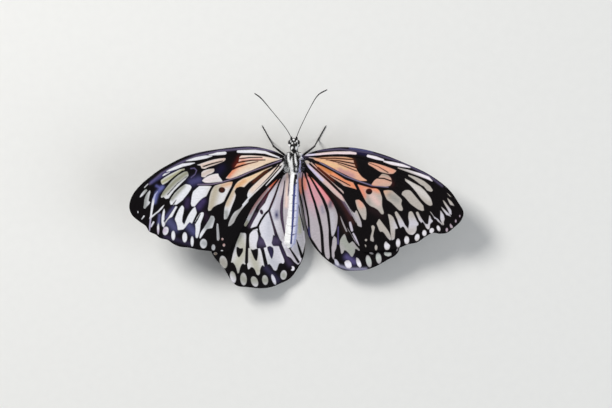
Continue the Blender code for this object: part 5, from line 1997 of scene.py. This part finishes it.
@dataclass
class HeadFittings:
    """Eyes, feelers, palps and the coiled tongue."""

    eye_centre: tuple[float, float, float] = (1.36, 7.5, 0.05)
    eye_axes: tuple[float, float, float] = (0.98, 1.12, 1.4)
    antenna_base: tuple[float, float, float] = (0.45, 8.1, 0.3)
    antenna_paths: dict[Side, Points] = field(
        default_factory=lambda: {
            Side.LEFT: ((3.1, 12.9, 3.4), (9.0, 20.2, 5.4), (12.6, 24.4, 6.3), (15.2, 26.4, 6.6)),
            Side.RIGHT: ((2.4, 13.1, 3.6), (6.2, 20.8, 5.8), (9.2, 25.6, 6.6), (12.8, 27.8, 6.8)),
        }
    )
    antenna_joints: int = 42
    palp_path: Points = (
        (0.75, 8.0, -1.2), (0.95, 8.8, -1.95), (1.0, 9.25, -1.95), (1.0, 9.5, -1.6), (0.95, 9.65, -0.9),
    )
    tongue_centre: tuple[float, float] = (7.9, -3.84)
    tongue_radii: tuple[float, float] = (1.35, 0.45)
    tongue_turns: float = 2.3
    tongue_ring: float = 0.17

    def eye(self, side: Side, material: bpy.types.Material) -> bpy.types.Object:
        """One compound eye, flattened where it sits against the head.

        Args:
            side: The side of the head.
            material: The finish.

        Returns:
            The finished piece.
        """
        piece = ball(96, 64)
        piece.name = f"eye_{side.word}_faceted"
        points = coordinates(piece)
        points[:, 0] = np.maximum(points[:, 0], -0.1)
        points = points * np.array(self.eye_axes) + np.array(self.eye_centre)
        points[:, 0] *= side.value
        placed(piece, to_floor(points))
        return finished(piece, material, [f"eye_{side.word}"])

    def antenna(self, side: Side, material: bpy.types.Material) -> bpy.types.Object:
        """One feeler: a basal knob, a slim ringed shaft and a slender club.

        Args:
            side: The side of the head.
            material: The finish.

        Returns:
            The finished piece.
        """
        flip = np.array([side.value, 1.0, 1.0])
        base = np.array(self.antenna_base)
        first = np.array(self.antenna_paths[side][0])
        start = base + (first - base) * 0.07
        line = smooth_line([start, *self.antenna_paths[side]], 0.08) * flip
        length = length_of(line)

        def radius(distance: np.ndarray) -> np.ndarray:
            """Radius along the feeler, with a slight swelling at each ring.

            Args:
                distance: Distances from the base in mm.

            Returns:
                The radius at each distance in mm.
            """
            share = distance / length
            shaft = np.interp(share, (0.0, 0.03, 0.06, 0.6, 0.8, 0.92, 1.0), (0.3, 0.27, 0.15, 0.14, 0.2, 0.27, 0.2))
            ring = 0.5 + 0.5 * np.cos(share * self.antenna_joints * math.tau)
            return shaft * (1.0 - 0.16 * ring**4)

        piece = rod(f"antenna_{side.word}_ringed", line, radius, 20, 420)
        placed(piece, to_floor(coordinates(piece)))
        return finished(piece, material, [f"antenna_{side.word}"])

    def palp(self, side: Side, material: bpy.types.Material, coat: bpy.types.Material) -> list[bpy.types.Object]:
        """One palp, curving up in front of the face, and its short coat.

        Args:
            side: The side of the head.
            material: The finish of the palp.
            coat: The finish of the hairs.

        Returns:
            The palp and its coat.
        """
        line = smooth_line(self.palp_path, 0.05) * np.array([side.value, 1.0, 1.0])
        length = length_of(line)
        piece = rod(
            f"palp_{side.word}_scaled",
            line,
            lambda d: np.interp(d / length, (0.0, 0.3, 0.6, 0.64, 0.68, 1.0), (0.4, 0.43, 0.36, 0.28, 0.3, 0.16)),
            24,
            90,
        )
        body = coordinates(piece)
        placed(piece, to_floor(body))
        pelt = replace(PALP_PELT, name=f"{PALP_PELT.name}_{side.word}")
        hairs = Hairs(Trunk(), body, piece).coat(pelt, coat)
        return [finished(piece, material, [f"palp_{side.word}"]), hairs]

    def tongue(self, material: bpy.types.Material) -> bpy.types.Object:
        """The tongue, coiled like a watch spring under the head.

        Args:
            material: The finish.

        Returns:
            The finished piece.
        """
        centre_y, centre_z = self.tongue_centre
        share = np.linspace(0.0, 1.0, 400)
        turn = math.tau * (0.25 + self.tongue_turns * share)
        size = self.tongue_radii[0] + (self.tongue_radii[1] - self.tongue_radii[0]) * share
        line = np.stack([share * 0.0, centre_y - size * np.cos(turn), centre_z + size * np.sin(turn)], axis=1)
        length = length_of(line)

        def radius(distance: np.ndarray) -> np.ndarray:
            """Radius along the tongue with its fine rings."""
            ring = 0.5 + 0.5 * np.cos(distance * math.tau / self.tongue_ring)
            return (0.22 - 0.10 * distance / length) * (1.0 - 0.05 * ring)

        piece = rod("proboscis_ringed", line, radius, 20, 420)
        placed(piece, to_floor(coordinates(piece)))
        return finished(piece, material, ["proboscis"])

    def build(
        self, cuticle: bpy.types.Material, eye: bpy.types.Material, coat: bpy.types.Material
    ) -> list[bpy.types.Object]:
        """Makes every fitting of the head.

        Args:
            cuticle: The finish of feelers, palps and tongue.
            eye: The finish of the eyes.
            coat: The finish of the palps' hairs.

        Returns:
            The finished pieces.
        """
        pieces = [self.tongue(cuticle)]
        for side in Side:
            pieces += [self.eye(side, eye), self.antenna(side, cuticle), *self.palp(side, cuticle, coat)]
        return pieces


@dataclass
class Legs:
    """Four walking legs with spines and claws, and the small folded forelegs."""

    trochanters: dict[str, Sequence[float]] = field(
        default_factory=lambda: {"middle": (1.7, 1.2, -4.3), "hind": (1.5, -2.2, -4.3)}
    )
    joints: dict[str, Points] = field(
        default_factory=lambda: {
            "middle": ((7.9, 6.2, 8.6), (9.3, 9.4, 0.24), (12.2, 14.6, 0.24)),
            "hind": ((7.0, -9.0, 7.0), (9.2, -15.6, 0.24), (11.4, -24.2, 0.24)),
        }
    )
    foreleg_path: Points = ((0.95, 3.8, -2.6), (1.1, 4.4, -3.3), (1.3, 5.9, -3.5), (1.2, 5.6, -4.3), (1.1, 3.6, -4.5))
    tarsus_joints: int = 5
    spines: int = 9
    # Length and half-width in mm of the spines on shin and foot and of the claws.
    shin_spine: tuple[float, float] = (0.75, 0.05)
    foot_spine: tuple[float, float] = (0.5, 0.04)
    claw: tuple[float, float] = (0.55, 0.07)
    floor_gap: float = 0.02

    def on_floor(self, point: Sequence[float]) -> np.ndarray:
        """A leg joint from the point on the floor below mid-thorax, in mm of the model."""
        return np.array(point, float) + np.array([BODY_ORIGIN[0], BODY_ORIGIN[1], 0.0])

    def walking(self, leg: str, side: Side, material: bpy.types.Material) -> bpy.types.Object:
        """One walking leg from its trochanter to its claws.

        Args:
            leg: "middle" or "hind".
            side: The side it stands on.
            material: Its finish.

        Returns:
            The finished piece.
        """
        flip = np.array([side.value, 1.0, 1.0])
        start = to_floor(np.array([self.trochanters[leg]]) * flip)[0] / MM
        knee, ankle, toe = (self.on_floor(np.array(joint) * flip) for joint in self.joints[leg])
        line = rested([start, knee, ankle, toe], 0.08, 12)
        bends = np.cumsum([np.linalg.norm(knee - start), np.linalg.norm(ankle - knee), np.linalg.norm(toe - ankle)])

        def radius(distance: np.ndarray) -> np.ndarray:
            """Radius along femur, tibia and the ringed foot.

            Args:
                distance: Distances from the hip in mm.

            Returns:
                The radius at each distance in mm.
            """
            at = (0.0, 0.6, bends[0] * 0.5, bends[0] - 0.4, bends[0], bends[0] + 0.7, bends[1] - 0.5, bends[1],
                  bends[1] + 0.5, bends[2])
            size = np.interp(distance, at, (0.42, 0.46, 0.42, 0.34, 0.40, 0.27, 0.27, 0.33, 0.25, 0.2))
            foot = np.clip((distance - bends[1]) / (bends[2] - bends[1]), 0.0, 1.0)
            notch = (0.5 + 0.5 * np.cos(foot * self.tarsus_joints * math.tau)) ** 8
            return size * (1.0 - 0.3 * notch * (foot > 0.02) * (foot < 0.98))

        forms = [rod("leg", line, radius, 20, 300)]
        shin = (ankle - knee) / np.linalg.norm(ankle - knee)
        foot = (toe - ankle) / np.linalg.norm(toe - ankle)
        outward_x = np.array([side.value, 0.0, 0.0])
        for index in range(self.spines):
            place = knee + (ankle - knee) * (0.25 + 0.7 * index / self.spines)
            lean = np.cross(shin, outward_x) * (1 if index % 2 else -1) * 0.6 + outward_x * 0.35 + shin
            forms.append(self.spine(place, lean, *self.shin_spine))
        for index in range(self.tarsus_joints * 2):
            place = ankle + (toe - ankle) * (0.12 + 0.17 * (index // 2))
            lean = foot + np.cross(foot, (0.0, 0.0, 1.0)) * (0.7 if index % 2 else -0.7) + np.array([0, 0, -0.1])
            forms.append(self.spine(place, lean, *self.foot_spine))
        for turn in (-1.0, 1.0):
            lean = foot + np.cross(foot, (0.0, 0.0, 1.0)) * 0.55 * turn
            forms.append(self.spine(toe + foot * 0.05, lean, *self.claw))
        piece = joined(forms, f"{leg}_leg_{side.word}")
        points = coordinates(piece)
        points[:, 2] = np.maximum(points[:, 2], self.floor_gap)
        placed(piece, points * MM)
        nodes = [f"{leg}_{length}_{side.word}" for length in ("femur", "tibia", "tarsus")]
        return finished(piece, material, nodes)

    def spine(self, place: np.ndarray, lean: np.ndarray, length: float, width: float) -> bpy.types.Object:
        """A short tapered spine in mm.

        Args:
            place: Where it starts.
            lean: The way it points.
            length: Its length.
            width: Its half-width at the base.

        Returns:
            The spine, to be joined to a leg.
        """
        way = lean / np.linalg.norm(lean)
        shares = np.linspace(0.0, 1.0, 9)
        line = np.array([place + way * length * share for share in shares])
        line[:, 2] -= 0.12 * length * shares**2
        return rod("spine", line, lambda d: width * (1.05 - d / length) + 0.006, 8, 8)

    def foreleg(self, side: Side, material: bpy.types.Material) -> bpy.types.Object:
        """One small foreleg, held folded against the chest.

        Args:
            side: The side of the chest.
            material: The finish.

        Returns:
            The finished piece.
        """
        line = smooth_line(self.foreleg_path, 0.06) * np.array([side.value, 1.0, 1.0])
        length = length_of(line)
        piece = rod(
            f"foreleg_{side.word}_folded",
            line,
            lambda d: np.interp(d / length, (0.0, 0.25, 0.5, 0.56, 1.0), (0.34, 0.32, 0.27, 0.3, 0.18)),
            20,
            120,
        )
        placed(piece, to_floor(coordinates(piece)))
        return finished(piece, material, [f"foreleg_{side.word}"])

    def build(self, material: bpy.types.Material) -> list[bpy.types.Object]:
        """Makes all six legs.

        Args:
            material: The finish.

        Returns:
            The finished pieces.
        """
        pieces = []
        for side in Side:
            pieces.append(self.foreleg(side, material))
            pieces += [self.walking(leg, side, material) for leg in self.joints]
        return pieces


# ---------------------------------------------------------------- studio


@dataclass
class Studio:
    """The pale floor, the soft lights and the camera."""

    floor_size: float = 6.0
    distance: float = 4000.0
    frame_squares: float = 612.0
    frame_middle: tuple[float, float] = (306.0, 204.0)
    sensor: float = 36.0

    def floor(self) -> None:
        """Lays the floor at the level of the feet."""
        deselect()
        bpy.ops.mesh.primitive_plane_add(size=self.floor_size)
        floor = bpy.context.active_object
        floor.name = "floor"
        floor.data.materials.append(StudioFloor().material())

    def light(
        self, name: str, place: Sequence[float], size: float, power: float, colour: Colour = (1.0, 1.0, 1.0)
    ) -> None:
        """Hangs one soft square light that points at the butterfly.

        Args:
            name: The light's name.
            place: Where it hangs, in metres.
            size: Its side in metres.
            power: Its power in watts.
            colour: Its colour.
        """
        data = bpy.data.lights.new(name, "AREA")
        data.size = size
        data.energy = power
        data.color = colour
        lamp = bpy.data.objects.new(name, data)
        lamp.location = place
        lamp.rotation_euler = (-Vector(place)).to_track_quat("-Z", "Y").to_euler()
        bpy.context.scene.collection.objects.link(lamp)

    def lights(self) -> None:
        """Hangs the key light at the front left, a fill on the right and a soft sky."""
        self.light("key", (-0.55, 0.45, 0.75), 0.35, 8.3, (1.0, 0.98, 0.95))
        self.light("fill", (0.7, -0.3, 0.6), 0.8, 3.8, (0.93, 0.96, 1.0))
        world = bpy.data.worlds.new("studio")
        world.use_nodes = True
        sky = world.node_tree.nodes["Background"].inputs
        sky["Color"].default_value = (0.93, 0.96, 1.0, 1.0)
        sky["Strength"].default_value = 0.34
        bpy.context.scene.world = world

    def camera(self) -> None:
        """Sets the camera square over the back of the body, far off on a long lens."""
        data = bpy.data.cameras.new("camera")
        data.sensor_width = self.sensor
        data.lens = self.sensor * self.distance / (self.frame_squares * CHART_SQUARE)
        data.clip_end = 20.0
        view = bpy.data.objects.new("camera", data)
        across = (self.frame_middle[0] - CHART_MIDDLE[0]) * CHART_SQUARE
        ahead = (CHART_MIDDLE[1] - self.frame_middle[1]) * CHART_SQUARE
        view.location = Vector(to_floor(np.array([[across, ahead, self.distance]]))[0])
        view.rotation_euler = (math.radians(BODY_PITCH), 0.0, 0.0)
        bpy.context.scene.collection.objects.link(view)
        bpy.context.scene.camera = view

    def build(self) -> None:
        """Sets up the floor, the lights and the camera, with plain display colours."""
        bpy.context.scene.view_settings.view_transform = "Standard"
        self.floor()
        self.lights()
        self.camera()


def main() -> None:
    """Builds the butterfly's looks around its solids and logs how many faces each new piece has."""
    logging.basicConfig(level=logging.INFO, format="%(name)s: %(message)s")
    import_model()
    Studio().build()
    scales = MarkedScales("wing_scales").material()
    body_scales = MarkedScales("body_scales", ragged=0.16, edge=0.06, scale_relief=0.04).material()
    cuticle = Cuticle().material()
    for side in Side:
        for wing in wings(side):
            wing.build(scales)
    coat = Coat().material()
    Trunk().build(body_scales, coat)
    HeadFittings().build(cuticle, FacetedEye().material(), coat)
    Legs().build(cuticle)


if __name__ == "__main__":
    main()
